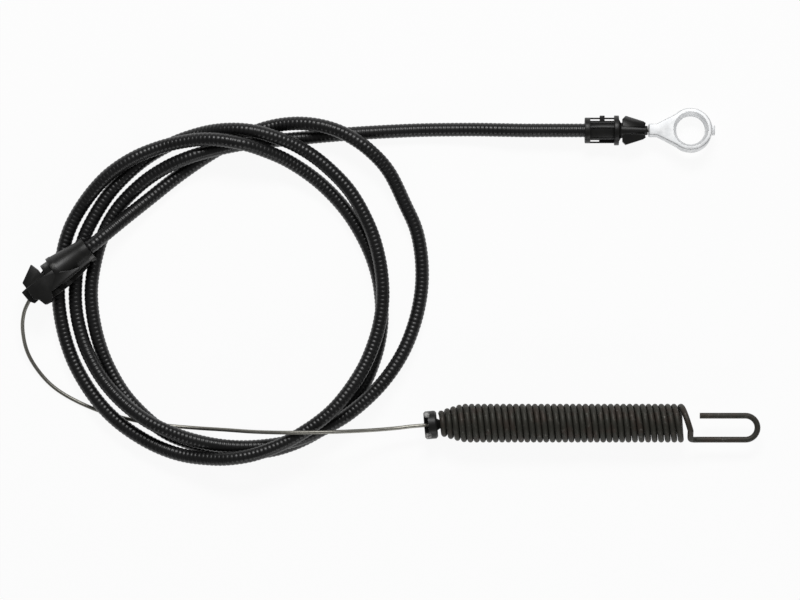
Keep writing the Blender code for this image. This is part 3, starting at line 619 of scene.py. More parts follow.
def settled(source: Object) -> Object:
    """Replace an object by a plain mesh of its evaluated shape.

    Args:
        source: A curve, or a mesh with modifiers.

    Returns:
        The new object, under the same name.
    """
    bpy.context.view_layer.update()
    evaluated = source.evaluated_get(bpy.context.evaluated_depsgraph_get())
    data = bpy.data.meshes.new_from_object(evaluated)
    name = source.name
    bpy.data.objects.remove(source, do_unlink=True)
    data.name = name
    return link(name, data)


def fused(name: str, body: Shell, joins: Iterable[Shell], cuts: Iterable[Shell] = ()) -> Object:
    """Join shells and cut others from them, at a larger scale that keeps fine edges apart.

    Args:
        name: The object's name.
        body: The main shell.
        joins: Shells to add.
        cuts: Shells to take away.

    Returns:
        One plain mesh, shaded smooth.
    """
    enlarged = Matrix.Scale(1.0 / MM, 4)
    made = body.placed(enlarged).as_object(name)
    tools = []
    for operation, shells in (("UNION", joins), ("DIFFERENCE", cuts)):
        for shell in shells:
            tool = shell.placed(enlarged).as_object(f"{name}_tool_{len(tools) + 1}")
            step = made.modifiers.new(tool.name, "BOOLEAN")
            step.operation = operation
            step.solver = "EXACT"
            step.object = tool
            tools.append(tool)
    made = settled(made)
    for tool in tools:
        bpy.data.objects.remove(tool, do_unlink=True)
    made.data.transform(Matrix.Scale(MM, 4))
    return smoothed(made)


def smoothed(target: Object, angle: float = SHARP_ANGLE) -> Object:
    """Shade an object smooth, with its sharp edges kept.

    Args:
        target: The object.
        angle: Edges that turn by more stay sharp, in degrees.

    Returns:
        The same object.
    """
    target.data.shade_smooth()
    target.data.set_sharp_from_angle(angle=math.radians(angle))
    return target


def painted(target: Object, finish: Finish) -> None:
    """Give an object one finish in place of its materials."""
    target.data.materials.clear()
    target.data.materials.append(finish.material())


def dressed(target: Object, finish: Finish, body: Body, *nodes: str) -> Object:
    """Give a piece its finish, its body and the nodes that it stands for.

    Args:
        target: The piece.
        finish: Its finish.
        body: The body it moves with.
        nodes: The model's nodes that it replaces.

    Returns:
        The same piece.
    """
    painted(target, finish)
    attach(target, body.value)
    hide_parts(*nodes)
    LOG.info("%s rides on %s, %d faces", target.name, body.value, len(target.data.polygons))
    return target


def in_metres(route: Sequence[Point]) -> list[Point]:
    """Points of a route, from route steps."""
    return [tuple(place / ROUTE_STEPS_PER_METRE for place in point) for point in route]


def smooth_line(route: Sequence[Point], spacing: float) -> list[Vector]:
    """Read evenly spaced points from a smooth curve through a route.

    Args:
        route: Points of the route, in metres.
        spacing: Distance between the points that are read.

    Returns:
        The points, the route's own ends among them.
    """
    corners = [Vector(point) for point in route]
    corners.insert(0, corners[0] * 2 - corners[1])
    corners.append(corners[-1] * 2 - corners[-2])
    fine = []
    for before, start, end, after in zip(corners, corners[1:], corners[2:], corners[3:]):
        for index in range(CURVE_SAMPLES):
            part = index / CURVE_SAMPLES
            fine.append(
                (start * 2 + (end - before) * part
                 + (before * 2 - start * 5 + end * 4 - after) * part ** 2
                 + (start * 3 - before - end * 3 + after) * part ** 3) / 2)
    fine.append(corners[-2])
    spans = ((second - first).length for first, second in zip(fine, fine[1:]))
    travelled = list(accumulate(spans, initial=0.0))
    count = max(2, round(travelled[-1] / spacing) + 1)
    chosen = []
    span = 0
    for index in range(count):
        goal = travelled[-1] * index / (count - 1)
        while span < len(fine) - 2 and travelled[span + 1] < goal:
            span += 1
        share = (goal - travelled[span]) / (travelled[span + 1] - travelled[span])
        chosen.append(fine[span].lerp(fine[span + 1], share))
    return chosen


def straight_line(start: Vector, end: Vector, spacing: float) -> list[Vector]:
    """Evenly spaced points from start up to, but without, end."""
    count = max(1, round((end - start).length / spacing))
    return [start.lerp(end, index / count) for index in range(count)]


def length_of(line: Sequence[Vector]) -> float:
    """Length of a line of points."""
    return sum((second - first).length for first, second in zip(line, line[1:]))


def swept(name: str, line: Sequence[Vector], radius: float, rings: Sequence[Pair],
          resolution: int = 4, section: Object = None) -> Object:
    """Sweep a section along a line.

    Args:
        name: The object's name.
        line: The points that it follows.
        radius: Radius of a round section.
        rings: For each point, the share of the radius and the turn of the section.
        resolution: Fineness of a round section.
        section: A closed curve to sweep in place of a circle.

    Returns:
        A closed mesh.
    """
    curve = bpy.data.curves.new(name, "CURVE")
    curve.dimensions = "3D"
    curve.twist_mode = "MINIMUM"
    curve.use_fill_caps = True
    if section is None:
        curve.bevel_depth = radius
        curve.bevel_resolution = resolution
    else:
        curve.bevel_mode = "OBJECT"
        curve.bevel_object = section
    spline = curve.splines.new("POLY")
    spline.points.add(len(line) - 1)
    for slot, point, (share, turn) in zip(spline.points, line, rings):
        slot.co = (*point, 1.0)
        slot.radius = share
        slot.tilt = turn
    made = settled(link(name, curve))
    work = bmesh.new()
    work.from_mesh(made.data)
    bmesh.ops.remove_doubles(work, verts=work.verts, dist=SAME_RING)
    bmesh.ops.recalc_face_normals(work, faces=work.faces)
    work.to_mesh(made.data)
    work.free()
    return made


@dataclass
class RearBracket:
    """The moulded fitting at the rear end of the conduit, in a frame of U, V and W."""

    start: Point = (-127.7 * MM, 1.4 * MM, 10.0 * MM)
    turn: float = math.radians(35.5)
    axis_v: float = 1.0 * MM
    mouth_u: float = 14.3 * MM
    mouth_radius: float = 4.7 * MM
    straight_length: float = 3.3 * MM
    root_u: float = 0.3 * MM
    root_radius: float = 5.9 * MM
    collar_length: float = 1.8 * MM
    collar_radius: float = 6.1 * MM
    spigot_length: float = 3.1 * MM
    spigot_radius: float = 5.15 * MM
    seat_depth: float = 11.0 * MM
    sole_w: float = -4.6 * MM
    base_thickness: float = 3.6 * MM
    tab_low_w: float = -2.6 * MM
    tab_thickness: float = 4.2 * MM
    cover_low_w: float = 1.3 * MM
    cover_thickness: float = 2.0 * MM
    top_low_w: float = 3.0 * MM
    top_thickness: float = 2.9 * MM
    web_size: Pair = (6.2 * MM, 6.4 * MM)
    web_lap: float = 1.5 * MM
    edge: float = 0.22 * MM
    barrel_edge: float = 0.09 * MM
    barrel_facets: int = 64
    seat_facets: int = 40
    base_outline: Outline = (
        (-13.8, 1.9), (-13.6, -3.4), (-12.3, -4.1), (-11.3, -7.4), (-8.8, -7.7), (-7.2, -6.7),
        (-0.9, -6.5), (6.4, -5.6), (7.9, -5.3), (11.2, -4.4), (11.2, -2.0), (7.2, 2.0), (-4.8, 4.2))
    tab_outline: Outline = ((-6.0, 1.5), (-6.1, 5.3), (-7.1, 8.6), (-13.9, 4.7), (-13.8, 0.5))
    cover_outline: Outline = (
        (-16.1, 1.8), (-15.8, -2.6), (-14.5, -4.5), (-11.0, -4.1), (-3.0, -3.0), (-3.0, 3.4), (-12.0, 2.4))
    top_outline: Outline = base_outline[:6] + (
        (-6.6, -4.6), (-1.5, -4.4), (7.6, -4.2), (7.5, -3.0), (3.9, -2.1), (0.0, 0.1), (-1.5, 1.1),
        (-1.5, 2.0), (-6.0, 2.0))
    clip_ribs: Outline = ((-4.6, -5.2), (0.6, -5.1))
    clip_size: Point = (2.4 * MM, 1.5 * MM, 1.0 * MM)
    lip_size: Point = (2.0 * MM, 2.4 * MM, 2.4 * MM)
    lip_v: float = -3.0 * MM
    # Pale spots on the collar, the sleeve's lip and the ears, partly wear and partly painted highlights
    wear_and_highlight_spots: Spots = (
        (-0.1325, 0.0041, 0.0015, 0.14), (-0.1296, 0.0037, 0.0016, 0.14), (-0.1283, -0.0063, 0.0018, 0.07),
        (-0.1238, -0.0028, 0.002, 0.08), (-0.115, 0.0066, 0.0014, 0.25))

    def frame(self) -> Matrix:
        """Frame of the fitting in the world."""
        return Matrix.Translation(self.start) @ Matrix.Rotation(self.turn, 4, "Z")

    def on_axis(self, u: float) -> Vector:
        """The point of the barrel's axis at a given U, in the world."""
        return self.frame() @ Vector((u, self.axis_v, 0.0))

    def axis(self) -> Matrix:
        """Frame of the barrel in the world, whose own Z is its axis."""
        return self.frame() @ Matrix.Translation((0.0, self.axis_v, 0.0)) @ TO_X

    def barrel(self) -> Shell:
        """Turn the barrel, its collar and its spigot.

        Returns:
            One shell.
        """
        collar_u = self.root_u - self.collar_length
        start_u = collar_u - self.spigot_length
        profile = (
            (0.0, self.mouth_u), (self.mouth_radius, self.mouth_u),
            (self.mouth_radius, self.mouth_u - self.straight_length),
            (self.root_radius, self.root_u), (self.collar_radius, self.root_u),
            (self.collar_radius, collar_u), (self.spigot_radius, collar_u),
            (self.spigot_radius, start_u), (0.0, start_u))
        return Shell.turned(profile, self.barrel_facets).eased(self.barrel_edge).placed(self.axis())

    def plates(self) -> list[Shell]:
        """Build the sole plate, side tab, wire cover, top plate, web, clip ribs and lip.

        Returns:
            A shell for each.
        """
        made = [
            Shell.plate([(u * MM, v * MM) for u, v in outline], low, low + thickness).eased(self.edge)
            for outline, low, thickness in (
                (self.base_outline, self.sole_w, self.base_thickness),
                (self.tab_outline, self.tab_low_w, self.tab_thickness),
                (self.cover_outline, self.cover_low_w, self.cover_thickness),
                (self.top_outline, self.top_low_w, self.top_thickness))]
        base_top = self.sole_w + self.base_thickness
        web_low = base_top - CLEARANCE
        web_height = self.cover_low_w - web_low + CLEARANCE
        web_u = self.root_u - self.collar_length - self.spigot_length + self.web_lap - self.web_size[0] / 2
        web_w = web_low + web_height / 2
        made.append(Shell.block((*self.web_size, web_height), (web_u, self.axis_v / 2, web_w)))
        for u, v in self.clip_ribs:
            rib_w = base_top + self.clip_size[2] / 2 - CLEARANCE
            made.append(Shell.block(self.clip_size, (u * MM, v * MM, rib_w)).eased(self.edge))
        lip_u = self.mouth_u - self.lip_size[0] / 2 + CLEARANCE
        made.append(Shell.block(self.lip_size, (lip_u, self.lip_v, 0.0)).eased(self.edge))
        return [shell.placed(self.frame()) for shell in made]

    def cuts(self) -> list[Shell]:
        """Make what is cut away, the space under the sole and the conduit's seat.

        Returns:
            Both shells.
        """
        below = 2 * self.mouth_u
        sole = Shell.block((2 * below, 2 * below, below), (0.0, 0.0, self.sole_w - below / 2))
        low, high = self.mouth_u - self.seat_depth, self.mouth_u + self.collar_length
        seat = bore(CONDUIT_SEAT, low, high, self.seat_facets)
        return [sole.placed(self.frame()), seat.placed(self.axis())]

    def build(self) -> Object:
        """Build and dress the fitting."""
        made = fused("rear_bracket", self.barrel(), self.plates(), self.cuts())
        return dressed(made, Nylon(wear_and_highlight_spots=self.wear_and_highlight_spots), Body.CABLE, "bracket_fitting")


@dataclass
class FrontFitting:
    """The snap-in fitting at the front end of the conduit, along +X."""

    rear_flange: Pair = (2.1 * MM, 4.95 * MM)
    body: Pair = (9.2 * MM, 3.75 * MM)
    stop_flange: Pair = (1.8 * MM, 5.75 * MM)
    stop_cone: Pair = (0.8 * MM, 4.5 * MM)
    groove: Pair = (1.4 * MM, 3.0 * MM)
    snap_length: float = 8.6 * MM
    snap_spread: float = 5.6 * MM
    snap_tip: float = 3.45 * MM
    snap_width: float = 4.6 * MM
    snap_heel: float = 1.2 * MM
    snap_chamfer: float = 0.6 * MM
    nose: Pair = (1.1 * MM, 1.8 * MM)
    seat_depth: float = 9.6 * MM
    rail_radii: Pair = (4.3 * MM, 4.9 * MM)
    rail_width: float = 1.8 * MM
    web_share: float = 0.62
    web_thickness: float = 1.0 * MM
    nub_size: Pair = (1.9 * MM, 5.7 * MM)
    rib_angles: tuple[float, ...] = (16.0, 42.0, 127.0, 196.0, 222.0, 307.0)
    rib_size: Pair = (0.5 * MM, 0.55 * MM)
    panel_angles: tuple[float, ...] = (-18.5, 161.5)
    panel_width: float = 3.5 * MM
    edge: float = 0.16 * MM
    facets: int = 64

    def origin(self) -> Vector:
        """Start of the fitting's axis, from the model's own node."""
        low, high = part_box("front_fitting")
        return Vector((low[0], (low[1] + high[1]) / 2, (low[2] + high[2]) / 2))

    def stations(self) -> tuple[float, ...]:
        """Places along the axis where one part ends and the next begins."""
        lengths = [part[0] for part in (self.rear_flange, self.body, self.stop_flange, self.groove)]
        return tuple(accumulate([*lengths, self.snap_length, self.nose[0]], initial=0.0))

    def core(self) -> Shell:
        """Turn the core with both flanges, the groove and the nose.

        Returns:
            The core, along its own Z.
        """
        start, body, stop, groove, snap, nose, end = self.stations()
        outer = (
            (self.rear_flange[1], start), (self.rear_flange[1], body), (self.body[1], body),
            (self.body[1], stop), (self.stop_flange[1], stop), (self.stop_flange[1], groove),
            (self.stop_cone[1], groove), (self.groove[1], groove + self.stop_cone[0]),
            (self.groove[1], snap), (self.nose[1], nose), (self.nose[1], end))
        seat_end = self.seat_depth
        inner = ((CONDUIT_SEAT, start), (CONDUIT_SEAT, seat_end), (WIRE_BORE, seat_end), (WIRE_BORE, end))
        return Shell.turned(outer[::-1] + inner, self.facets).eased(self.edge)

    def trims(self) -> list[Shell]:
        """Build the side rails, web, key nub, ribs and panels of the body.

        Returns:
            A shell for each.
        """
        _, body, stop, *_ = self.stations()
        middle = (body + stop) / 2
        length = stop - body + 2 * CLEARANCE
        low, high = self.rail_radii
        made = []
        for side in (1.0, -1.0):
            rail = Shell.block((length, high - low, self.rail_width), (middle, side * (low + high) / 2, 0.0))
            made.append(rail.eased(self.edge / 2))
        web_length = self.web_share * length
        made.append(Shell.block(
            (web_length, high - self.body[1], self.web_thickness),
            (stop + CLEARANCE - web_length / 2, -(high + self.body[1]) / 2, 0.0)))
        nub_low = self.body[1] - CLEARANCE
        nub = Shell.block(
            (self.nub_size[0], self.nub_size[1] - nub_low, self.rail_width),
            (middle, (self.nub_size[1] + nub_low) / 2, 0.0))
        made.append(nub.eased(self.edge))
        for angle in self.rib_angles:
            rib = Shell.block((length, self.rib_size[0], 2 * self.rib_size[1]), (middle, 0.0, self.body[1]))
            made.append(rib.eased(self.edge / 2).placed(about_x(angle)))
        for angle in self.panel_angles:
            panel = Shell.block(
                (length - 4 * self.edge, self.panel_width, self.rib_size[1]),
                (middle, 0.0, self.body[1] - self.rib_size[1] / 4))
            made.append(panel.eased(self.edge).placed(about_x(angle)))
        return made

    def wings(self) -> list[Shell]:
        """Build both wedge-shaped snap wings, which leave the wire's bore free.

        Returns:
            The wings.
        """
        *_, snap, nose, _ = self.stations()
        deep = WIRE_BORE + CLEARANCE
        outline = (
            (snap, deep), (nose, deep), (nose + self.snap_chamfer / 2, self.snap_tip - self.snap_chamfer),
            (nose - self.snap_chamfer, self.snap_tip), (snap + self.snap_heel, self.snap_spread),
            (snap, self.snap_spread - self.snap_heel))
        made = []
        for side in (1.0, -1.0):
            placed = [(x, side * across) for x, across in outline]
            made.append(Shell.plate(placed, -self.snap_width / 2, self.snap_width / 2).eased(self.edge))
        return made

    def build(self) -> Object:
        """Build and dress the fitting.

        Returns:
            The finished piece.
        """
        place = Matrix.Translation(self.origin())
        joins = [shell.placed(place) for shell in self.trims() + self.wings()]
        made = fused("snap_fitting", self.core().placed(place @ TO_X), joins)
        return dressed(made, Nylon(), Body.CABLE, "front_fitting")


@dataclass
class Eyelet:
    """The cast eyelet on the front end of the wire."""

    neck_length: float = 7.9 * MM
    neck_width: float = 4.6 * MM
    flank_length: float = 4.7 * MM
    ring_radius: float = 8.3 * MM
    ring_thickness: float = 6.0 * MM
    neck_thickness: float = 4.6 * MM
    mouth_radius: float = 6.85 * MM
    waist_radius: float = 5.5 * MM
    nub_length: float = 1.1 * MM
    nub_width: float = 3.6 * MM
    crimp_depth: float = 6.8 * MM
    tilt: float = math.radians(-10.0)
    touch: float = math.radians(132.0)
    thinning_start: float = 0.35
    arc_steps: int = 60
    hole_facets: int = 72
    crimp_facets: int = 24
    edge: float = 0.55 * MM
    edge_segments: int = 3
    edge_angle: float = 50.0
    nub_edge: float = 0.3 * MM

    def outline(self) -> list[Pair]:
        """Draw the outline of neck, flanks and ring, about the ring's middle.

        Returns:
            Pairs of X and Y.
        """
        start = -(self.neck_length + self.ring_radius)
        half = self.neck_width / 2
        shoulder = start + self.neck_length - self.flank_length
        angles = [self.touch * (2 * index / self.arc_steps - 1) for index in range(self.arc_steps + 1)]
        arc = [(self.ring_radius * math.cos(angle), self.ring_radius * math.sin(angle)) for angle in angles]
        return [(start, -half), (shoulder, -half)] + arc + [(shoulder, half), (start, half)]

    def build(self, origin: Vector) -> Object:
        """Build and dress the eyelet.

        Args:
            origin: Start of the front fitting's axis, whose line it shares.

        Returns:
            The finished piece.
        """
        low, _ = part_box("eyelet")
        centre_x = low[0] + self.neck_length + self.ring_radius
        place = Matrix.Translation((centre_x, origin.y, origin.z)) @ Matrix.Rotation(self.tilt, 4, "X")
        half = self.ring_thickness / 2
        plate = Shell.plate(self.outline(), -half, half)
        thin = self.neck_thickness / self.ring_thickness
        for corner in plate.mesh.verts:
            share = min(1.0, max(0.0, -corner.co.x / self.ring_radius - self.thinning_start))
            corner.co.z *= 1.0 + (thin - 1.0) * share
        plate.eased(self.edge, self.edge_segments, self.edge_angle)
        nub = Shell.block(
            (self.nub_length + self.edge, self.nub_width, self.neck_thickness / 2),
            (self.ring_radius + (self.nub_length - self.edge) / 2, 0.0, 0.0)).eased(self.nub_edge)
        flare = (self.mouth_radius - self.waist_radius) / half * CLEARANCE
        wide = self.mouth_radius + flare
        high = half + CLEARANCE
        flanks = ((0.0, high), (wide, high), (self.waist_radius, 0.0), (wide, -high), (0.0, -high))
        hole = Shell.turned(flanks, self.hole_facets)
        crimp = bore(WIRE_BORE, -CLEARANCE, self.crimp_depth, self.crimp_facets)
        crimp.placed(Matrix.Translation((low[0], origin.y, origin.z)) @ TO_X)
        made = fused("cast_eyelet", plate.placed(place), [nub.placed(place)], [hole.placed(place), crimp])
        return dressed(made, CastZinc(), Body.EYELET, "eyelet")


@dataclass
class SpringPlug:
    """The plug in the small end of the spring."""

    pivot_x: float = 19.5 * MM
    offset_y: float = -0.3 * MM
    tilt: float = math.radians(5.0)
    head_start: float = -7.0 * MM
    head_length: float = 5.0 * MM
    head_radius: float = 5.4 * MM
    chamfer: float = 0.7 * MM
    slot_depth: float = 1.6 * MM
    slot_width: float = 6.2 * MM
    slot_floor: float = 1.2 * MM
    neck_length: float = 5.8 * MM
    neck_radius: float = 1.75 * MM
    neck_root: Pair = (1.0 * MM, 2.3 * MM)
    barb_length: float = 2.8 * MM
    barb_radius: float = 3.2 * MM
    barb_end_radius: float = 2.5 * MM
    nipple_length: float = 2.6 * MM
    nipple_radius: float = 1.5 * MM
    nipple_seat: float = 2.4 * MM
    edge: float = 0.14 * MM
    facets: int = 56
    # Pale spots on the head's rim, partly wear and partly painted highlights
    wear_and_highlight_spots: Spots = ((0.0134, -0.0534, 0.0015, 0.8), (0.0141, -0.0616, 0.0016, 1.0))

    def frame(self) -> Matrix:
        """Place the plug in the small end of the spring.

        Returns:
            The frame whose own Z points along its bore, towards the spring.
        """
        low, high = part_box("spring")
        pivot = (self.pivot_x, (low[1] + high[1]) / 2 + self.offset_y, high[2] / 2)
        return Matrix.Translation(pivot) @ Matrix.Rotation(self.tilt, 4, "Z") @ TO_X

    def end(self) -> float:
        """Height of its inner end."""
        return self.head_start + self.head_length + self.neck_length + self.barb_length

    def wire_end(self) -> Vector:
        """Where the wire ends, in the nipple."""
        height = self.end() - self.nipple_seat + CLEARANCE + self.nipple_length
        return self.frame() @ Vector((0.0, 0.0, height))

    def build(self) -> Object:
        """Build and dress the plug.

        Returns:
            The finished piece.
        """
        head_end = self.head_start + self.head_length
        neck_end = head_end + self.neck_length
        end = self.end()
        seat = end - self.nipple_seat
        seat_radius = self.nipple_radius + CLEARANCE
        outer = (
            (self.head_radius - self.chamfer, self.head_start),
            (self.head_radius, self.head_start + self.chamfer),
            (self.head_radius, head_end - self.chamfer), (self.head_radius - self.chamfer, head_end),
            (self.neck_root[1], head_end), (self.neck_radius, head_end + self.neck_root[0]),
            (self.neck_radius, neck_end), (self.barb_radius, neck_end), (self.barb_end_radius, end))
        inner = ((WIRE_BORE, self.head_start), (WIRE_BORE, seat), (seat_radius, seat), (seat_radius, end))
        plug = Shell.turned(outer[::-1] + inner, self.facets).eased(self.edge).placed(self.frame())
        slot = Shell.block(
            (2 * self.head_radius, self.slot_width, 2 * self.slot_depth),
            (self.slot_floor - self.head_radius, 0.0, self.head_start))
        made = fused("spring_end_plug", plug, (), [slot.placed(self.frame())])
        return dressed(made, Nylon(wear_and_highlight_spots=self.wear_and_highlight_spots), Body.CABLE, "spring_plug")


@dataclass
class ExtensionSpring:
    """The close-wound spring with its tapered end and long flat hook."""

    start_x: float = 19.0 * MM
    wire_radius: float = 1.15 * MM
    pitch: float = 2.43 * MM
    radius: float = 7.5 * MM
    small_radius: float = 4.9 * MM
    taper_turns: int = 4
    taper_power: float = 1.4
    turns: int = 38
    steps_per_turn: int = 28
    leave_angle: float = math.radians(120.0)
    swing_angle: float = math.radians(300.0)
    swing_reach: float = 1.9 * MM
    swing_phase: float = math.radians(60.0)
    swing_mean: float = 0.6
    drift_angle: float = math.radians(2880.0)
    drift_reach: float = 0.7 * MM
    lean: float = 0.06
    bend_radius: float = 4.6 * MM
    return_x: float = 118.5 * MM
    bend_steps: int = 20
    lead: tuple[Point, ...] = (
        (114.7 * MM, 0.9 * MM, 3.2 * MM), (115.05 * MM, 0.25 * MM, 1.7 * MM), (116.2 * MM, 0.0, 0.6 * MM),
        (119.0 * MM, 0.0, 0.0))
    lead_spacing: float = 0.5 * MM
    sharp_angle: float = 50.0

    def axis(self) -> Point:
        """Axis Y and Z of the coils and the hook's reach, from the model's own node."""
        low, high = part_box("spring")
        return (low[1] + high[1]) / 2, high[2] / 2, high[0]

    def coils(self) -> list[Vector]:
        """Wind the coils from the small end, where the last turns swing and drift forward.

        Returns:
            The points of their middle line.
        """
        axis_y, axis_z, _ = self.axis()
        mean = self.radius - self.wire_radius
        small = self.small_radius - self.wire_radius
        step = 2 * math.pi / self.steps_per_turn
        last = 2 * math.pi * self.turns + self.leave_angle
        points = []
        for index in range(round(last / step) + 1):
            angle = index * step
            turns = angle / (2 * math.pi)
            narrowing = max(0.0, 1.0 - turns / self.taper_turns) ** self.taper_power
            reach = mean - (mean - small) * narrowing
            swing = max(0.0, 1.0 - (last - angle) / self.swing_angle)
            low_side = self.swing_mean - (1.0 - self.swing_mean) * math.cos(angle + self.swing_phase)
            drift = max(0.0, 1.0 - max(0.0, last - angle - self.swing_angle) / self.drift_angle)
            advance = self.swing_reach * swing ** 2 * low_side
            advance += self.drift_reach * drift * (0.5 - 0.5 * math.cos(angle))
            advance -= self.lean * (1.0 - narrowing) * reach * math.cos(angle)
            points.append(Vector((
                self.start_x + self.pitch * turns + advance,
                axis_y + reach * math.cos(angle), axis_z + reach * math.sin(angle))))
        return points

    def hook(self) -> list[Vector]:
        """Bend the hook, from the coils to its free end.

        Returns:
            The points of its middle line.
        """
        axis_y, axis_z, reach = self.axis()
        low_y = axis_y - (self.radius - self.wire_radius)
        centre = Vector((reach - self.wire_radius - self.bend_radius, low_y + self.bend_radius, axis_z))
        points = []
        for index in range(self.bend_steps + 1):
            angle = -math.pi / 2 + math.pi * index / self.bend_steps
            points.append(centre + self.bend_radius * Vector((math.cos(angle), math.sin(angle), 0.0)))
        points.append(Vector((self.return_x, centre.y + self.bend_radius, axis_z)))
        return points

    def build(self) -> Object:
        """Build and dress the spring.

        Returns:
            The finished piece.
        """
        coils, hook = self.coils(), self.hook()
        corner = [Vector((x, hook[0].y + y, hook[0].z + z)) for x, y, z in self.lead]
        line = coils[:-1] + smooth_line([coils[-1], *corner, hook[0]], self.lead_spacing) + hook[1:]
        made = swept("long_spring", line, self.wire_radius, [(1.0, 0.0)] * len(line))
        return dressed(smoothed(made, self.sharp_angle), SpringSteel(), Body.SPRING, "spring")


@dataclass
class Conduit:
    """The ribbed conduit, from the rear fitting round its coil to the front fitting."""

    diameter: float = CONDUIT_DIAMETER
    rib_pitch: float = 1.65 * MM
    rib_depth: float = 0.15 * MM
    crest_rise: float = 0.17 * MM
    rings_per_rib: int = 6
    resolution: int = 6

    def line(self, bracket: RearBracket, fitting: FrontFitting, spacing: float) -> list[Vector]:
        """Middle line of the conduit, with its straight ends inside both fittings.

        Args:
            bracket: The rear fitting.
            fitting: The front fitting.
            spacing: Distance between points.

        Returns:
            The points.
        """
        rear = bracket.on_axis(bracket.mouth_u - bracket.seat_depth + CLEARANCE)
        route = smooth_line(in_metres(CONDUIT_ROUTE), spacing)
        start = fitting.origin()
        front = Vector((start.x + fitting.seat_depth - CLEARANCE, start.y, start.z))
        ending = straight_line(front, route[-1], spacing)[::-1]
        return straight_line(rear, route[0], spacing) + route + ending

    def build(self, bracket: RearBracket, fitting: FrontFitting) -> Object:
        """Args:
            bracket: The rear fitting.
            fitting: The front fitting.

        Returns:
            The finished piece.
        """
        line = self.line(bracket, fitting, self.rib_pitch / self.rings_per_rib)
        crest = self.diameter / 2 + self.crest_rise
        for point in line:
            point.z = max(point.z, crest)
        rings = [
            (1.0 - self.rib_depth / crest * math.sin(math.pi * index / self.rings_per_rib) ** 4, 0.0)
            for index in range(len(line))]
        made = swept("ribbed_conduit", line, crest, rings, self.resolution)
        dressed(smoothed(made, SHARP_ANGLE_OF_TUBES), Vinyl(), Body.CABLE, "conduit_jacket")
        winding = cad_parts["conduit_winding"]
        painted(winding, WindingSteel())
        length_of(line)
        line[::self.rings_per_rib] + [line[-1]]
        return made


@dataclass
class PullWire:
    """The stranded wire, from the nipple through the rear fitting and the conduit."""

    diameter: float = WIRE_DIAMETER
    strands: int = 6
    strand_relief: float = 0.02
    points_per_strand: int = 4
    lay_length: float = 11.0 * MM
    bare_spacing: float = 0.8 * MM
    hidden_spacing: float = 3.0 * MM
    travel: float = 30.0 * MM

    def section(self) -> Object:
        """Draw the outline of the strands.

        Returns:
            A flat closed curve.
        """
        curve = bpy.data.curves.new("strand_section", "CURVE")
        curve.dimensions = "2D"
        outline = curve.splines.new("POLY")
        count = self.strands * self.points_per_strand
        outline.points.add(count - 1)
        for index, slot in enumerate(outline.points):
            angle = 2 * math.pi * index / count
            bulge = abs(math.cos(angle * self.strands / 2))
            radius = self.diameter / 2 * (1.0 - self.strand_relief * (1.0 - bulge))
            slot.co = (radius * math.cos(angle), radius * math.sin(angle), 0.0, 1.0)
        outline.use_cyclic_u = True
        return link("strand_section", curve)

    def stranded(self, name: str, bare: Sequence[Vector], hidden: Sequence[Vector]) -> Object:
        """Sweep the strands, twisted where they show.

        Args:
            name: The object's name.
            bare: The points where the wire shows.
            hidden: The points inside the conduit.

        Returns:
            The wire.
        """
        section = self.section()
        twist = 2 * math.pi * self.bare_spacing / self.lay_length
        rings = [(1.0, twist * min(index, len(bare) - 1)) for index in range(len(bare) + len(hidden))]
        made = swept(name, list(bare) + list(hidden), self.diameter / 2, rings, section=section)
        bpy.data.objects.remove(section, do_unlink=True)
        return smoothed(made, SHARP_ANGLE_OF_TUBES)

    def build(self, plug: SpringPlug, bracket: RearBracket, conduit: Conduit,
              fitting: FrontFitting) -> Object:
        """Args:
            plug: The plug that holds its rear end.
            bracket: The rear fitting.
            conduit: The conduit that it runs through.
            fitting: The front fitting.

        Returns:
            The finished piece.
        """
        route = smooth_line(in_metres(BARE_WIRE_ROUTE), self.bare_spacing)
        root = bracket.on_axis(bracket.root_u - bracket.collar_length)
        bare = (straight_line(plug.wire_end(), route[0], self.bare_spacing) + route
                + straight_line(route[-1], root, self.bare_spacing)[1:])
        front = fitting.origin().x + fitting.stations()[-1] - self.travel - fitting.snap_length
        inside = [
            point for point in conduit.line(bracket, fitting, self.hidden_spacing)
            if not (point.x > front - CLEARANCE and point.y > fitting.origin().y - conduit.diameter)]
        inside.append(Vector((front - CLEARANCE, fitting.origin().y, fitting.origin().z)))
        made = self.stranded("stranded_wire", bare, inside)
        dressed(made, GalvanisedWire(), Body.CABLE, "inner_wire")
        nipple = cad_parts["wire_nipple"]
        painted(nipple, GalvanisedWire())
        line = bare + inside
        length_of(line)
        return made

    def build_front(self, fitting: FrontFitting) -> Object:
        """Build and dress the length of wire that is cast in the eyelet.

        Args:
            fitting: The front fitting that it runs through.

        Returns:
            The finished piece.
        """
        origin = fitting.origin()
        low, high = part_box("inner_wire_front")
        start, end = (Vector((x, origin.y, origin.z)) for x in (low[0], high[0]))
        made = self.stranded("eyelet_wire", straight_line(start, end, self.bare_spacing) + [end], ())
        return dressed(made, GalvanisedWire(), Body.EYELET, "inner_wire_front")


@dataclass(frozen=True)
class Softbox:
    """A rectangular lamp that looks at the middle of the table."""

    name: str
    place: Point
    size: Pair
    power: float

    def build(self) -> None:
        """Add the lamp."""
        data = bpy.data.lights.new(self.name, "AREA")
        data.shape = "RECTANGLE"
        data.size, data.size_y = self.size
        data.energy = self.power
        lamp = link(self.name, data)
        lamp.location = self.place
        lamp.rotation_euler = (-Vector(self.place)).to_track_quat("-Z", "Y").to_euler()


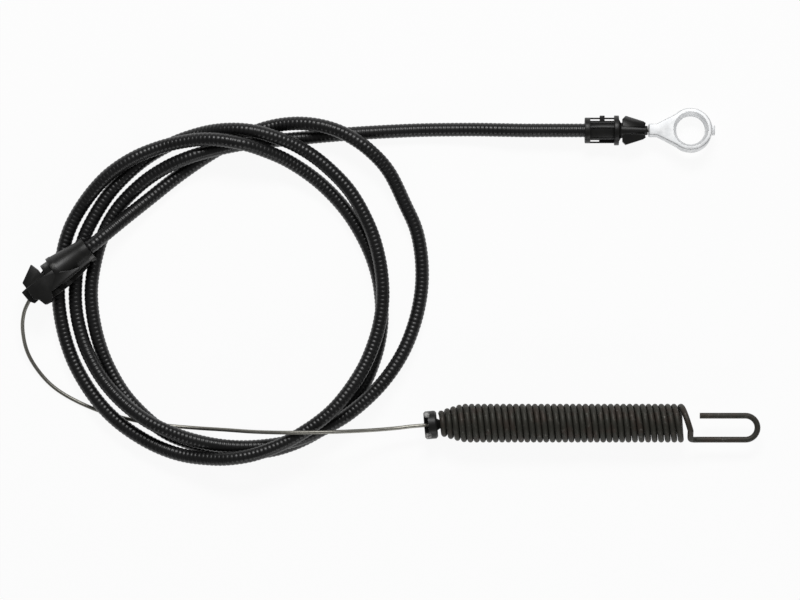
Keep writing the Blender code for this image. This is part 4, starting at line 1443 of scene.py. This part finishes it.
@dataclass
class Studio:
    """White ground, soft light and a camera that looks straight down."""

    distance: float = 2.0
    subject_height: float = 5.0 * MM
    ground_size: float = 8.0
    sky: float = 0.16
    sensor: float = 36.0
    lamps: tuple[Softbox, ...] = (
        Softbox("key_lamp", (0.04, 0.86, 1.02), (0.6, 0.3), 11.0),
        Softbox("fill_lamp", (0.25, -1.10, 0.45), (0.9, 0.2), 2.8),
    )

    def build(self) -> None:
        """Add camera, ground, lamps and sky."""
        width = PHOTO_WIDTH * METRES_PER_PIXEL
        data = bpy.data.cameras.new("photo_camera")
        data.sensor_width = self.sensor
        data.lens = self.sensor * self.distance / width
        camera = link("photo_camera", data)
        camera.location = (
            (PHOTO_MIDDLE[0] - PHOTO_ORIGIN[0]) * METRES_PER_PIXEL,
            (PHOTO_ORIGIN[1] - PHOTO_MIDDLE[1]) * METRES_PER_PIXEL,
            self.distance + self.subject_height)
        bpy.context.scene.camera = camera
        ground = Shell()
        bmesh.ops.create_grid(ground.mesh, x_segments=1, y_segments=1, size=self.ground_size / 2)
        floor = ground.as_object("white_table")
        floor.data.materials.append(WhiteGround().material())
        for lamp in self.lamps:
            lamp.build()
        world = bpy.data.worlds.new("soft_sky")
        world.use_nodes = True
        sky = world.node_tree.nodes["Background"]
        sky.inputs["Color"].default_value = (1.0, 1.0, 1.0, 1.0)
        sky.inputs["Strength"].default_value = self.sky
        bpy.context.scene.world = world
        bpy.context.scene.view_settings.view_transform = "Standard"


def corners(box: tuple[Vector, Vector]) -> list[list[float]]:
    """Lowest and highest corners of a box, as plain lists."""
    return [list(corner) for corner in box]


def main() -> None:
    """Dress the cable, piece by piece, and set up the studio."""
    logging.basicConfig(level=logging.INFO, format="%(message)s")
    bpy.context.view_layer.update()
    Studio().build()
    bracket, fitting, plug = RearBracket(), FrontFitting(), SpringPlug()
    conduit, wire = Conduit(), PullWire()
    conduit.build(bracket, fitting)
    wire.build(plug, bracket, conduit, fitting)
    wire.build_front(fitting)
    bracket.build()
    fitting.build()
    Eyelet().build(fitting.origin())
    plug.build()
    ExtensionSpring().build()


if __name__ == "__main__":
    main()
